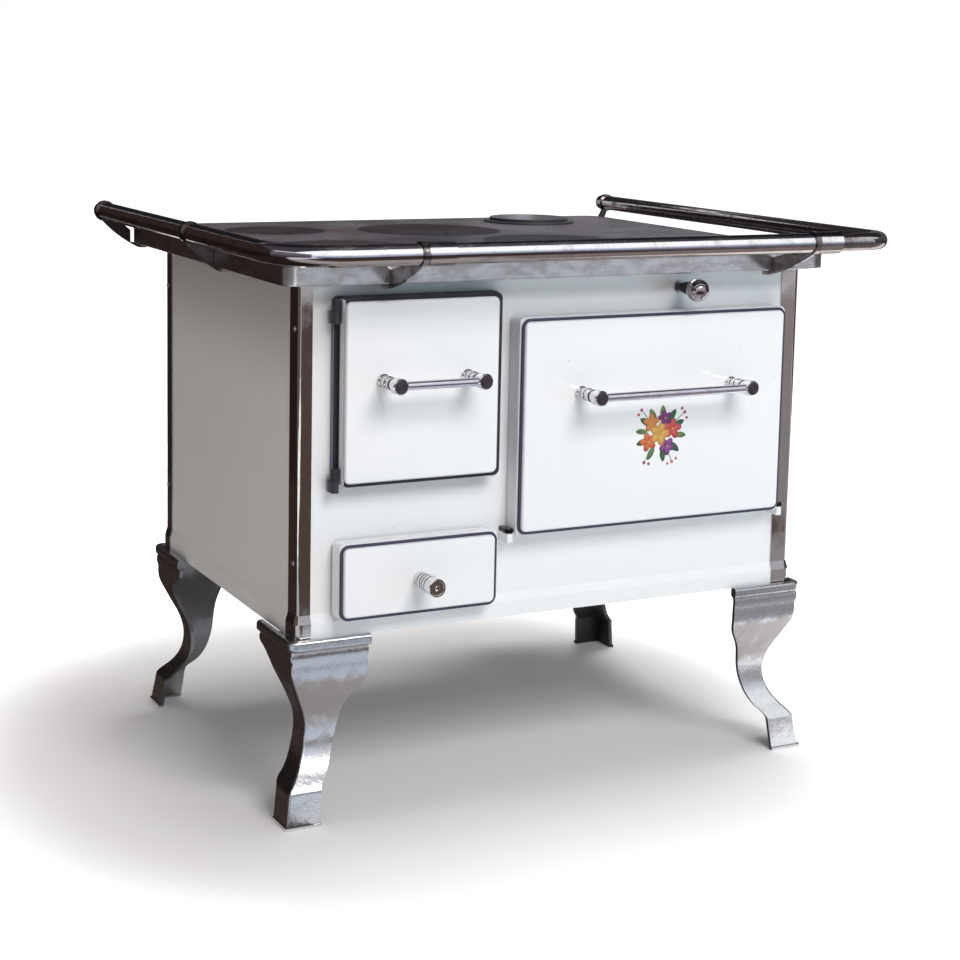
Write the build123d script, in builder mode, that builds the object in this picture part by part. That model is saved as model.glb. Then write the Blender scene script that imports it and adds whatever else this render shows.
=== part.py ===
"""Enamelled wood cookstove on four cabriole legs.

Millimetres, +Z up, front towards -Y. The origin is on the floor, under the middle of
the whole stove, with its guard rail.
"""
from build123d import *
import os

os.makedirs("parts", exist_ok=True)

# --- driving dimensions: body -----------------------------------------------------------
body_w = 800.0            # over the corner posts, left to right
body_d = 556.0            # over the corner posts, front to back
leg_h = 255.0             # floor to the underside of the body
body_h = 480.0            # height of the enamelled body
sheet = 1.6               # enamelled panel thickness
post_t = 2.0              # corner post thickness
post_r = 8.0              # corner post outer bend radius
post_flange = 30.0        # post flange on the side and rear faces
post_face_left = 20.0     # front flange of the post beside the fire door
post_face_right = 32.0    # front flange of the post beside the oven door
post_lap = post_r - 1.0   # corner of the body to the edge of a panel
base_flare = 3.5          # how far the foot of the body stands out
skirt_h = 22.0            # upright part of the flared foot
shoulder_h = 12.0         # sloping part of the flared foot
frame_t = 2.0             # base frame sheet
frame_flange = 60.0       # inward flange that the legs bolt to
pan_t = 2.0               # bottom pan sheet
pan_gap = 1.0             # bottom pan to the base frame's upstand

# band and cooking plate
band_h = 27.0             # height of the band round the top
band_t = 2.0
band_r = 30.0             # band corner radius in plan
band_edge = 1.5           # rounding of the band's outer edges
overhang = 30.0           # band beyond the posts at the front and the sides
rear_overhang = 95.0      # band beyond the posts at the back
band_lip = 8.0            # top lip that frames the plate
band_ledge = 6.0          # bottom flange inward of the panels
plate_t = 10.0
plate_gap = 0.5           # plate to band lip
split_x = -122.0          # joint between the two plate sections
split_gap = 0.6
rib_in = 16.5             # rib inboard of the plate's edge
rib_w = 8.0
rib_gap = 0.3             # rib above the band's flange
ledge = 7.0               # width of the rebate that a lid or ring rests on
ledge_t = 5.0             # plate left under a rebate
lid_gap = 0.4             # radial gap round a lid or ring
seat_gap = 0.3            # gap under a lid, ring or sliding piece
lifter = (16.0, 7.0, 3.0)  # pocket for the lid lifter

# pot holes: centre and radius of the rebate, and of the inner lid where there is a ring
rear_left_hole = (-243.0, 213.0, 78.0)
front_left_hole = (-247.0, -73.0, 105.0)
rear_middle_hole = (0.0, 163.0, 114.0)
front_right_hole = (100.0, -60.0, 105.0)
front_left_lid_r = 68.0
rear_middle_lid_r = 85.0

# flue collar and smoke box
flue_x, flue_y = 240.0, 270.0
flue_bore_r = 62.0
flue_wall = 4.0
flue_flange_r = 76.0
flue_flange_t = 3.0
flue_rise = 8.0           # collar above the plate
flue_drop = 12.0          # spigot below the plate's top
smoke_half_w = 90.0
smoke_bottom = leg_h + 45.0
smoke_t = 2.0
smoke_flange = 14.0
notch_in = 15.0           # rear panel's smoke openings inside the box's width
upper_notch = (leg_h + 385.0, leg_h + 467.0)
lower_notch = (leg_h + 65.0, leg_h + 135.0)

# --- driving dimensions: doors and drawer -----------------------------------------------
fire_x0, fire_x1 = -335.0, -118.0      # fire opening
fire_z0, fire_z1 = leg_h + 223.0, leg_h + 451.0
fire_frame_t = 10.0
fire_frame_side = 18.0    # frame beyond the opening on the hinge side
fire_frame_rest = 12.0    # frame beyond the opening on the other sides
fire_lap = 12.5           # door casting beyond the opening, above and below
fire_lap_right = 5.0
fire_edge = 6.0           # edge of the casting
door_gap = 1.0            # door casting to frame
fire_cast_t = 18.0        # depth of the hollow casting
fire_front_t = 6.0        # its front wall
fire_panel_in = (1.0, 6.5, 5.0)  # panel inside the casting: left, right, above and below
fire_panel_t = 7.0
baffle_in = 7.0           # door baffle inside the opening
baffle_t = 4.0
baffle_deep = 25.0
fire_pin_out = 19.0       # hinge axis beside the opening
fire_pin_front = 10.0     # hinge axis before the frame
barrel_r = 5.5
barrel_h = 16.0
pin_r = 3.0
pin_fit = 0.05            # running clearance on the pins
pin_len = 12.0
corner_r = 9.0            # corners of doors and frames, seen from the front
rim_r = 3.8               # rounded rim of the enamelled panels
groove_in = 4.0           # shadow groove behind a panel's rim
groove_t = 1.5

oven_x0, oven_x1 = -60.0, 340.0        # oven opening
oven_z0, oven_z1 = leg_h + 147.0, leg_h + 399.0
oven_lap_left = 25.5      # door beyond the opening
oven_lap_right = 15.5
oven_lap_low = 25.5
oven_lap_high = 28.0
oven_stand_off = 2.0      # back of the door to the front panel
oven_pan_t = 28.0
oven_sheet = 2.0
oven_panel_in = 5.5
oven_panel_t = 7.0
oven_pin_up = 6.5         # hinge axis above the door's lower edge
oven_pin_out = 20.0       # hinge axis before the front panel
plug_gap = 4.0            # door liner inside the opening
plug_deep = 14.0
lug_gap = 2.5             # hinge lug beside the door
lug_w = 8.0
lug_low = 16.0            # lug below the hinge axis
lug_high = 3.0
oven_depth = 462.0
oven_flange = 7.0
runner_z = leg_h + 265.0
runner_w = 10.0
rack_gap = 1.5
rack_front = 34.0         # rack behind the front panel
rack_depth = 400.0
rack_rim_r = 3.5
rack_rod_r = 2.5
rack_rods = 12

drawer_x0, drawer_x1 = -338.0, -126.0  # drawer opening
drawer_z0, drawer_z1 = leg_h + 41.0, leg_h + 117.0
drawer_lap_side = 12.0
drawer_lap_low = 13.0
drawer_lap_high = 16.0
drawer_stand_off = 5.0    # clears the flared foot of the body
drawer_pan_t = 23.0
drawer_panel_t = 7.0
drawer_panel_in = 4.5
drawer_gap = 2.0          # box inside the opening
drawer_sheet = 1.5
drawer_box_h = 68.0
drawer_len = 406.0

# handles and knobs
fire_handle_z = leg_h + 352.5
fire_handle_x = (-293.0, -169.0)
oven_handle_z = leg_h + 319.5
oven_handle_x = (9.0, 257.5)
handle_out = 58.0         # door face to the end of the handle's posts
spool_r = 8.0
cap_r = 11.0
cap_len = 15.0
bar_r = 6.0
knob_x, knob_z = -233.0, leg_h + 77.5
knob_out = 54.0
knob_r = 12.5
damper_x, damper_z = 188.5, leg_h + 458.0
damper_rod_r = 4.0
damper_ball_r = 16.5
damper_ball_out = 49.0    # ball centre to the front panel
damper_bush_r = 9.0
damper_neck_r = 10.0      # knob where its neck meets the ball
damper_plate_w = 160.0
damper_plate_z = (leg_h + 407.0, leg_h + 474.0)
damper_guide_y = 90.0

# --- driving dimensions: guard rail -----------------------------------------------------
rail_up = 21.0            # rail axis above the plate
rail_front = 122.0        # rail axis beyond the posts
rail_side = 64.0
tube_r = 14.0
tube_wall = 1.5
right_tube_r = tube_r - tube_wall  # fits the bore of the other tube
left_bend = 90.0
right_bend = 40.0
left_joint_x = -256.0     # where the tubes butt inside the sleeves
right_joint_x = 353.0
sleeve_len = 38.0
sleeve_wall = 1.6
end_dome = 10.0
end_plug = 14.0
clip_w = 8.0              # bracket ring along the tube
clip_t = 2.5
leaf_t = 3.0              # pressed leaf of a bracket
leaf_root = 5.0           # depth of the leaf beside its bolt
leaf_bow = 4.0            # curve of its lower edge
tab_w = 20.0
tab_t = 2.0
bracket_out = 15.0        # bracket bolt behind the band's outer face
front_clip_x = (-281.0, 329.0)
middle_clip_y = -30.0
rear_clip_in = 14.5       # rear brackets' rings before the rails' ends
rear_bolt_y = 352.0
bolt_r = 4.0
bolt_hex_r = 7.5
bolt_head = 5.5
bolt_fit = 0.3
screw_r = 2.0
screw_head_r = 4.5
screw_z = (leg_h + 104.0, leg_h + 420.0)
screw_in = 13.0           # screws behind the corner of the body

# --- driving dimensions: legs, firebox --------------------------------------------------
leg_t = 6.0               # casting wall
leg_out = 6.0             # datum of the legs beyond the corner posts
leg_straight = 12.0       # plain top of the leg, under the body
lip_out = 5.0             # beaded lip beyond the leg
lip_low = 12.0            # lip below the underside of the body
lip_high = 3.0            # lip above it
lip_gap = 0.5
lip_r = 4.5               # rounding of the lip
pad = 60.0
pad_t = 6.0
toe_lip = 1.5             # rim round the foot of the leg
toe_h = 4.0
leg_bolt_in = 38.0        # leg bolt from the corner of the body
ridge_r = 3.5             # rounding of the leg's corner
lip_corner_r = 4.0        # rounding of the lip in plan, inside
brick_t = 30.0
brick_rows = 3
brick_joint = 0.6
hearth_z = leg_h + 195.0
hearth_t = 2.0
firebox_x0, firebox_x1 = -358.0, -98.0
firebox_y1 = 200.0
brick_top = leg_h + 465.0
grate_t = 14.0
grate_y0 = -200.0
grate_gap = 2.0
grate_slots = 9
pit_sheet = 2.0

# --- derived places ---------------------------------------------------------------------
half_w = body_w / 2
half_d = body_d / 2
panel_x = half_w - post_t                 # outer face of the side panels
panel_y = half_d - post_t                 # outer face of the front and rear panels
inner_y = panel_y - sheet                 # inner face of the front and rear panels
base_top = leg_h + skirt_h + shoulder_h
panel_top = leg_h + body_h                # top edge of the enamelled panels
pan_top = leg_h + frame_t + pan_t
plate_top = panel_top + band_h
plate_under = plate_top - plate_t
rail_z = plate_top + rail_up
flange_top = panel_top + band_t
band_x = half_w + overhang
band_front = -(half_d + overhang)
band_back = half_d + rear_overhang
rail_y = -(half_d + rail_front)
rail_x = half_w + rail_side
right_rail_x = rail_x + tube_r - right_tube_r
rail_end_y = tube_r + clip_t - rail_y - end_dome    # rear ends, as far out as the front
seat_z = plate_top - (plate_t - ledge_t) + seat_gap
smoke_y = band_back - band_t - 5.0        # back of the smoke box
fire_pin_x = fire_x0 - fire_pin_out
fire_pin_y = -(panel_y + fire_frame_t + fire_pin_front)
oven_pin_y = -(panel_y + oven_pin_out)
oven_pin_z = oven_z0 - oven_lap_low + oven_pin_up


def finish(piece, name):
    """Label a finished piece and write it."""
    piece.part.label = name
    export_step(piece.part, f"parts/{name}.step")


def wall_plane(y):
    """Upright plane at a given Y whose sketches grow towards the front."""
    return Plane.XZ.offset(-y)


def rounded(x0, x1, y0, y1, radius, mode=Mode.ADD):
    """Rounded rectangle between two corners, in the sketch that is open."""
    with Locations(((x0 + x1) / 2, (y0 + y1) / 2)):
        RectangleRounded(x1 - x0, y1 - y0, radius, mode=mode)


def square(x0, x1, y0, y1, mode=Mode.ADD):
    """Rectangle between two corners, in the sketch that is open."""
    with Locations(((x0 + x1) / 2, (y0 + y1) / 2)):
        Rectangle(x1 - x0, y1 - y0, mode=mode)


def block(x0, x1, y0, y1, z0, z1, mode=Mode.ADD):
    """Block between two corners, in the part that is open."""
    with Locations(((x0 + x1) / 2, (y0 + y1) / 2, (z0 + z1) / 2)):
        Box(x1 - x0, y1 - y0, z1 - z0, mode=mode)


def disc(x, y, radius, z0, z1, mode=Mode.ADD):
    """Upright cylinder, in the part that is open."""
    with Locations((x, y, (z0 + z1) / 2)):
        Cylinder(radius, z1 - z0, mode=mode)


def rod_y(x, z, radius, y0, y1, mode=Mode.ADD):
    """Cylinder along Y, in the part that is open."""
    with Locations(Location((x, (y0 + y1) / 2, z), (90, 0, 0))):
        Cylinder(radius, y1 - y0, mode=mode)


def rod_x(y, z, radius, x0, x1, mode=Mode.ADD):
    """Cylinder along X, in the part that is open."""
    with Locations(Location(((x0 + x1) / 2, y, z), (0, 90, 0))):
        Cylinder(radius, x1 - x0, mode=mode)


def wall_line(face):
    """Outer face of a wall on the negative side, from the flared foot to the top."""
    return [
        (-(face + base_flare), leg_h),
        (-(face + base_flare), leg_h + skirt_h),
        (-face, base_top),
        (-face, panel_top),
    ]


def sheet_outline(face, thickness):
    """Section of a pressed sheet that follows the flared foot."""
    outer = wall_line(face)
    return outer + [(x + thickness, z) for x, z in reversed(outer)]


# === body ===============================================================================
# Corner posts: bright angle, bent round the corner, with one width of flange in front
# and another at the side. Both follow the flared foot.
def corner_post(front_flange):
    """Front left post with the given front flange."""
    with BuildPart() as post:
        with BuildLine(Plane.XY) as run:
            FilletPolyline(
                (front_flange - half_w, -half_d), (-half_w, -half_d),
                (-half_w, post_flange - half_d), radius=post_r,
            )
        with BuildSketch(Plane.YZ.offset(front_flange - half_w)):
            with BuildLine():
                Polyline(*sheet_outline(half_d, post_t), close=True)
            make_face()
        sweep(path=run.wire())
        for z in screw_z:
            rod_x(screw_in - half_d, z, screw_r, -half_w - 1, 1 - panel_x, mode=Mode.SUBTRACT)
    return post.part


with BuildPart() as post_front_left:
    add(corner_post(post_face_left))
finish(post_front_left, "post_front_left")

with BuildPart() as post_front_right:
    mirror(corner_post(post_face_right), about=Plane.YZ)
finish(post_front_right, "post_front_right")

with BuildPart() as post_rear_left:
    mirror(corner_post(post_flange), about=Plane.XZ)
finish(post_rear_left, "post_rear_left")

with BuildPart() as post_rear_right:
    mirror(post_rear_left.part, about=Plane.YZ)
finish(post_rear_right, "post_rear_right")

# Enamelled panels: pressed sheets that end under the posts.
with BuildPart() as left_panel:
    with BuildSketch(Plane.XZ):
        with BuildLine():
            Polyline(*sheet_outline(panel_x, sheet), close=True)
        make_face()
    extrude(amount=panel_y - post_lap, both=True)
    for y in (screw_in - half_d, half_d - screw_in):
        for z in screw_z:
            rod_x(y, z, screw_r, -half_w, 1 - panel_x + sheet, mode=Mode.SUBTRACT)
finish(left_panel, "left_panel")

with BuildPart() as right_panel:
    mirror(left_panel.part, about=Plane.YZ)
finish(right_panel, "right_panel")

with BuildPart() as front_panel:
    with BuildSketch(Plane.YZ):
        with BuildLine():
            Polyline(*sheet_outline(panel_y, sheet), close=True)
        make_face()
    extrude(amount=panel_x - post_lap, both=True)
    with BuildSketch(wall_plane(-inner_y)):
        rounded(fire_x0, fire_x1, fire_z0, fire_z1, corner_r)
        rounded(oven_x0, oven_x1, oven_z0, oven_z1, corner_r)
        square(drawer_x0, drawer_x1, drawer_z0, drawer_z1)
        with Locations((damper_x, damper_z)):
            Circle(damper_bush_r - 1.8)
    extrude(amount=2 * sheet, mode=Mode.SUBTRACT)
finish(front_panel, "front_panel")

with BuildPart() as rear_panel:
    with BuildSketch(Plane.YZ):
        with BuildLine():
            Polyline(*[(-y, z) for y, z in sheet_outline(panel_y, sheet)], close=True)
        make_face()
    extrude(amount=panel_x - post_lap, both=True)
    notch_half = smoke_half_w - notch_in
    for low, high in (upper_notch, lower_notch):
        block(
            flue_x - notch_half, flue_x + notch_half, inner_y - 1, panel_y + 1, low, high,
            mode=Mode.SUBTRACT,
        )
finish(rear_panel, "rear_panel")

with BuildPart() as post_screws:
    for side in (-1, 1):
        for y in (screw_in - half_d, half_d - screw_in):
            for z in screw_z:
                x0 = side * (panel_x - sheet)
                x1 = side * half_w
                rod_x(y, z, screw_r, min(x0, x1), max(x0, x1))
                with Locations(Location((x1, y, z), (0, side * 90, 0))):
                    Cone(screw_head_r, screw_r, screw_r, align=(Align.CENTER, Align.CENTER, Align.MIN))
finish(post_screws, "post_screws")

# Base frame: angle ring inside the skirt. The legs bolt to its flange.
frame_x = panel_x + base_flare - sheet
frame_y = panel_y + base_flare - sheet
leg_bolts_at = [
    (x, y)
    for x in (leg_bolt_in - half_w, half_w - leg_bolt_in)
    for y in (leg_bolt_in - half_d, half_d - leg_bolt_in)
]

with BuildPart() as base_frame:
    with BuildSketch(Plane.XY.offset(leg_h)):
        rounded(-frame_x, frame_x, -frame_y, frame_y, post_r - post_t + base_flare - sheet)
    extrude(amount=skirt_h)
    inset_x = frame_x - frame_t
    inset_y = frame_y - frame_t
    block(-inset_x, inset_x, -inset_y, inset_y, leg_h + frame_t, base_top, mode=Mode.SUBTRACT)
    flange_x = frame_x - frame_flange
    flange_y = frame_y - frame_flange
    block(-flange_x, flange_x, -flange_y, flange_y, leg_h - 1, base_top, mode=Mode.SUBTRACT)
    for x, y in leg_bolts_at:
        disc(x, y, bolt_r + bolt_fit, leg_h - 1, leg_h + skirt_h, mode=Mode.SUBTRACT)
finish(base_frame, "base_frame")

with BuildPart() as bottom_pan:
    pan_x = inset_x - pan_gap
    pan_y = inset_y - pan_gap
    block(-pan_x, pan_x, -pan_y, pan_y, leg_h + frame_t, pan_top)
    for x, y in leg_bolts_at:
        disc(x, y, bolt_r + bolt_fit, leg_h, pan_top + 1, mode=Mode.SUBTRACT)
finish(bottom_pan, "bottom_pan")

# === legs ===============================================================================
# Cast cabriole legs: an angle whose corner swells in, then out again to the toe, while
# its two wings narrow. Each row is a height, then how far the corner stands out from the
# corner of the base, then how far in the front wing and the side wing reach.
leg_corner_x = half_w + leg_out
leg_corner_y = half_d + leg_out
ridge_out = 5.0
lip_in = base_flare - leg_out + lip_gap
leg_shank = [
    (leg_h - leg_straight, ridge_out, 107.0, 109.0),
    (leg_h - 30.0, ridge_out, 107.0, 100.0),
    (leg_h - 43.0, 4.7, 107.0, 76.0),
    (leg_h - 55.0, 2.5, 106.0, 63.0),
    (leg_h - 69.0, -3.5, 101.0, 57.0),
    (leg_h - 87.0, -12.0, 89.0, 57.0),
    (leg_h - 109.0, -22.0, 79.0, 61.0),
    (leg_h - 133.0, -27.0, 74.0, 66.0),
    (leg_h - 157.0, -25.0, 68.0, 68.0),
    (77.0, -16.5, 60.0, 61.0),
    (62.0, -5.0, 50.0, 52.0),
    (47.0, 7.0, 40.0, 41.0),
]
leg_foot = [(0.0, 14.0, 35.0, 34.0), leg_shank[-1]]
leg_toe = [(z, 14.0 + toe_lip, 35.0 + toe_lip, 34.0 + toe_lip) for z in (0.0, toe_h)]
leg_top = [leg_shank[0], (leg_h, ridge_out, 107.0, 109.0)]


def leg_section(z, ridge, front, side):
    """Plan of a leg at one height."""
    x0 = -(leg_corner_x + ridge)
    y0 = -(leg_corner_y + ridge)
    end_x = front - leg_corner_x
    end_y = side - leg_corner_y
    with BuildSketch(Plane.XY.offset(z)) as section:
        with BuildLine():
            FilletPolyline((x0, end_y), (x0, y0), (end_x, y0), radius=ridge_r)
            Line((end_x, y0), (end_x, y0 + leg_t))
            Polyline((end_x, y0 + leg_t), (x0 + leg_t, y0 + leg_t), (x0 + leg_t, end_y))
            Line((x0 + leg_t, end_y), (x0, end_y))
        make_face()
    return section.sketch


def bead(reach_front, reach_side, section):
    """Moulding that runs round the corner of the base."""
    start = reach_front - leg_corner_x
    with BuildPart() as moulding:
        with BuildLine(Plane.XY) as run:
            FilletPolyline(
                (start, -leg_corner_y), (-leg_corner_x, -leg_corner_y),
                (-leg_corner_x, reach_side - leg_corner_y), radius=lip_corner_r,
            )
        with BuildSketch(Plane.YZ.offset(start)):
            with BuildLine():
                FilletPolyline(*[(-(leg_corner_y + out), z) for out, z in section],
                               radius=lip_r, close=True)
            make_face()
        sweep(path=run.wire())
    return moulding.part


with BuildPart() as leg_front_left:
    loft([leg_section(*row) for row in leg_shank])
    loft([leg_section(*row) for row in leg_foot], ruled=True)
    loft([leg_section(*row) for row in leg_toe], ruled=True)
    loft([leg_section(*row) for row in leg_top], ruled=True)
    add(bead(110.0, 112.0, [
        (lip_in, leg_h - lip_low), (ridge_out + lip_out, leg_h - lip_low),
        (ridge_out + lip_out, leg_h + lip_high), (lip_in, leg_h + lip_high),
    ]))
    block(
        -leg_corner_x, pad - leg_corner_x, -leg_corner_y, pad - leg_corner_y,
        leg_h - pad_t, leg_h,
    )
    disc(leg_bolt_in - half_w, leg_bolt_in - half_d, bolt_r + bolt_fit, leg_h - 20, leg_h + 1,
         mode=Mode.SUBTRACT)
finish(leg_front_left, "leg_front_left")

with BuildPart() as leg_front_right:
    mirror(leg_front_left.part, about=Plane.YZ)
finish(leg_front_right, "leg_front_right")

with BuildPart() as leg_rear_left:
    mirror(leg_front_left.part, about=Plane.XZ)
finish(leg_rear_left, "leg_rear_left")

with BuildPart() as leg_rear_right:
    mirror(leg_front_right.part, about=Plane.XZ)
finish(leg_rear_right, "leg_rear_right")

# === band and cooking plate =============================================================
# Band: satin steel channel round the top. Its lower flange carries the plate, and the
# part behind the body closes the smoke box at the top.
bracket_y = band_front + bracket_out      # bolts of the front brackets
bracket_x = band_x - bracket_out          # bolts of the side brackets
bracket_bolts = [(x, bracket_y) for x in front_clip_x]
bracket_bolts += [(-bracket_x, middle_clip_y), (-bracket_x, rear_bolt_y), (bracket_x, rear_bolt_y)]

with BuildPart() as top_frame:
    with BuildSketch(Plane.XY.offset(panel_top)):
        rounded(-band_x, band_x, band_front, band_back, band_r)
    extrude(amount=band_h)
    rims = top_frame.faces().sort_by(Axis.Z)
    fillet(rims[0].edges() + rims[-1].edges(), band_edge)
    with BuildSketch(Plane.XY.offset(flange_top)):
        rounded(band_t - band_x, band_x - band_t, band_front + band_t, band_back - band_t,
                band_r - band_t)
    extrude(amount=band_h - 2 * band_t, mode=Mode.SUBTRACT)
    with BuildSketch(Plane.XY.offset(plate_top - band_t)):
        rounded(band_lip - band_x, band_x - band_lip, band_front + band_lip,
                band_back - band_lip, band_r - band_lip)
    extrude(amount=band_t, mode=Mode.SUBTRACT)
    hole_x = panel_x - band_ledge
    hole_y = panel_y - band_ledge
    block(-hole_x, hole_x, -hole_y, hole_y, panel_top, flange_top, mode=Mode.SUBTRACT)
    box_in = smoke_half_w - smoke_t - band_ledge
    block(flue_x - box_in, flue_x + box_in, hole_y - 1, smoke_y - smoke_t - rib_in - rib_w,
          panel_top, flange_top, mode=Mode.SUBTRACT)
    for x, y in bracket_bolts:
        disc(x, y, bolt_r + bolt_fit, panel_top, flange_top, mode=Mode.SUBTRACT)
finish(top_frame, "top_frame")

# Cooking plate: two iron sections with rebated pot holes, on a rib over the panels.
edge_x = band_x - band_lip - plate_gap
edge_y0 = band_front + band_lip + plate_gap
edge_y1 = band_back - band_lip - plate_gap
sections = {
    "top_plate_left": (-edge_x, split_x - split_gap / 2, [rear_left_hole, front_left_hole]),
    "top_plate_right": (split_x + split_gap / 2, edge_x, [rear_middle_hole, front_right_hole]),
}
for name, (x0, x1, holes) in sections.items():
    with BuildPart() as top_plate:
        with BuildSketch(Plane.XY.offset(plate_under)):
            rounded(-edge_x, edge_x, edge_y0, edge_y1, band_r - band_lip - plate_gap)
            square(x0, x1, edge_y0, edge_y1, mode=Mode.INTERSECT)
        extrude(amount=plate_t)
        with BuildSketch(Plane.XY.offset(flange_top + rib_gap)):
            rib_out = edge_x - rib_in
            square(-rib_out, rib_out, edge_y0 + rib_in, edge_y1 - rib_in)
            square(rib_w - rib_out, rib_out - rib_w, edge_y0 + rib_in + rib_w,
                   edge_y1 - rib_in - rib_w, mode=Mode.SUBTRACT)
            square(x0, x1, edge_y0, edge_y1, mode=Mode.INTERSECT)
        extrude(amount=plate_under - flange_top - rib_gap)
        for x, y, radius in holes:
            with Locations((x, y, plate_top)):
                CounterBoreHole(radius - ledge, radius, plate_t - ledge_t)
        with Locations((flue_x, flue_y, plate_top)):
            Hole(flue_bore_r + flue_wall + lid_gap)
    finish(top_plate, name)


def pot_lid(x, y, radius):
    """Iron lid that drops into a rebate, with a pocket for the lifter."""
    with BuildPart() as lid:
        disc(x, y, radius - lid_gap, seat_z, plate_top)
        disc(x, y, radius - ledge - 2 * lid_gap, plate_under + 1.0, seat_z)
        pocket_l, pocket_w, pocket_d = lifter
        y0 = y - radius + 2 * ledge
        block(x - pocket_w / 2, x + pocket_w / 2, y0, y0 + pocket_l, plate_top - pocket_d,
              plate_top, mode=Mode.SUBTRACT)
    return lid


def pot_ring(x, y, radius, lid_radius):
    """Iron ring that drops into a rebate and carries a smaller lid."""
    with BuildPart() as ring:
        disc(x, y, radius - lid_gap, seat_z, plate_top)
        disc(x, y, radius - ledge - 2 * lid_gap, plate_under + seat_gap, seat_z)
        with Locations((x, y, plate_top)):
            CounterBoreHole(lid_radius - ledge, lid_radius, plate_t - ledge_t)
    return ring


finish(pot_lid(*rear_left_hole), "rear_left_lid")
finish(pot_ring(*front_left_hole, front_left_lid_r), "front_left_ring")
finish(pot_lid(*front_left_hole[:2], front_left_lid_r), "front_left_lid")
finish(pot_ring(*rear_middle_hole, rear_middle_lid_r), "rear_middle_ring")
finish(pot_lid(*rear_middle_hole[:2], rear_middle_lid_r), "rear_middle_lid")
finish(pot_lid(*front_right_hole), "front_right_lid")

# Flue collar: flanged spigot that the smoke pipe stands in.
with BuildPart() as flue_collar:
    flue_axis = Plane(origin=(flue_x, flue_y, 0), x_dir=(1, 0, 0), z_dir=(0, -1, 0))
    with BuildSketch(flue_axis):
        with BuildLine():
            Polyline(
                (flue_bore_r, plate_top - flue_drop),
                (flue_bore_r + flue_wall, plate_top - flue_drop),
                (flue_bore_r + flue_wall, plate_top),
                (flue_flange_r, plate_top),
                (flue_flange_r, plate_top + flue_flange_t),
                (flue_bore_r + flue_wall, plate_top + flue_flange_t),
                (flue_bore_r + flue_wall, plate_top + flue_rise),
                (flue_bore_r, plate_top + flue_rise),
                close=True,
            )
        make_face()
    revolve(axis=Axis((flue_x, flue_y, 0), (0, 0, 1)))
finish(flue_collar, "flue_collar")

# Smoke box: sheet trough behind the body, open to the plate and to both smoke openings.
with BuildPart() as smoke_box:
    x0 = flue_x - smoke_half_w
    x1 = flue_x + smoke_half_w
    block(x0, x1, panel_y, smoke_y, smoke_bottom, panel_top)
    block(x0 + smoke_t, x1 - smoke_t, panel_y, smoke_y - smoke_t, smoke_bottom + smoke_t,
          panel_top, mode=Mode.SUBTRACT)
    for side in (x0 - smoke_flange, x1):
        block(side, side + smoke_flange, panel_y, panel_y + smoke_t, smoke_bottom, panel_top)
finish(smoke_box, "smoke_box")

# === fire door ==========================================================================
ear_top = fire_z1 + 10.0                  # top of the upper barrel
ear_low = fire_z0 + 12.0                  # top of the lower barrel
cast_y = -(panel_y + fire_frame_t + door_gap)
cast_front = cast_y - fire_cast_t

# Frame: bolted over the opening, with two ears whose pins carry the door.
with BuildPart() as fire_door_frame:
    with BuildSketch(wall_plane(-panel_y)):
        rounded(fire_x0 - fire_frame_side, fire_x1 + fire_frame_rest,
                fire_z0 - fire_frame_rest, fire_z1 + fire_frame_rest, corner_r)
        rounded(fire_x0, fire_x1, fire_z0, fire_z1, corner_r, mode=Mode.SUBTRACT)
    extrude(amount=fire_frame_t)
    for top in (ear_top, ear_low):
        ear_z = top - barrel_h - seat_gap
        block(fire_pin_x - barrel_r, fire_pin_x + barrel_r, fire_pin_y, -panel_y - 5,
              ear_z - barrel_h, ear_z)
        disc(fire_pin_x, fire_pin_y, barrel_r, ear_z - barrel_h, ear_z)
        disc(fire_pin_x, fire_pin_y, pin_r, ear_z, ear_z + pin_len)
finish(fire_door_frame, "fire_door_frame")

# Door casting: shallow tray, open behind, with a baffle inside and two bored barrels.
with BuildPart() as fire_door_casting:
    cast_x0 = fire_x0 - fire_lap
    cast_x1 = fire_x1 + fire_lap_right
    cast_z0 = fire_z0 - fire_lap
    cast_z1 = fire_z1 + fire_lap
    with BuildSketch(wall_plane(cast_y)):
        rounded(cast_x0, cast_x1, cast_z0, cast_z1, corner_r)
    extrude(amount=fire_cast_t)
    with BuildSketch(wall_plane(cast_y)):
        rounded(cast_x0 + fire_edge, cast_x1 - fire_edge, cast_z0 + fire_edge,
                cast_z1 - fire_edge, corner_r - fire_edge)
    extrude(amount=fire_cast_t - fire_front_t, mode=Mode.SUBTRACT)
    with BuildSketch(wall_plane(cast_front + fire_front_t)):
        rounded(fire_x0 + baffle_in, fire_x1 - baffle_in, fire_z0 + baffle_in,
                fire_z1 - baffle_in, corner_r)
        rounded(fire_x0 + baffle_in + baffle_t, fire_x1 - baffle_in - baffle_t,
                fire_z0 + baffle_in + baffle_t, fire_z1 - baffle_in - baffle_t, corner_r,
                mode=Mode.SUBTRACT)
    extrude(amount=-(baffle_deep + fire_cast_t - fire_front_t))
    for top in (ear_top, ear_low):
        block(fire_pin_x, cast_x0 + 2.0, fire_pin_y - barrel_r, fire_pin_y + barrel_r,
              top - barrel_h, top)
        disc(fire_pin_x, fire_pin_y, barrel_r, top - barrel_h, top)
        disc(fire_pin_x, fire_pin_y, pin_r + pin_fit, top - barrel_h, top - barrel_h + pin_len + 1,
             mode=Mode.SUBTRACT)
finish(fire_door_casting, "fire_door_casting")


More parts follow.
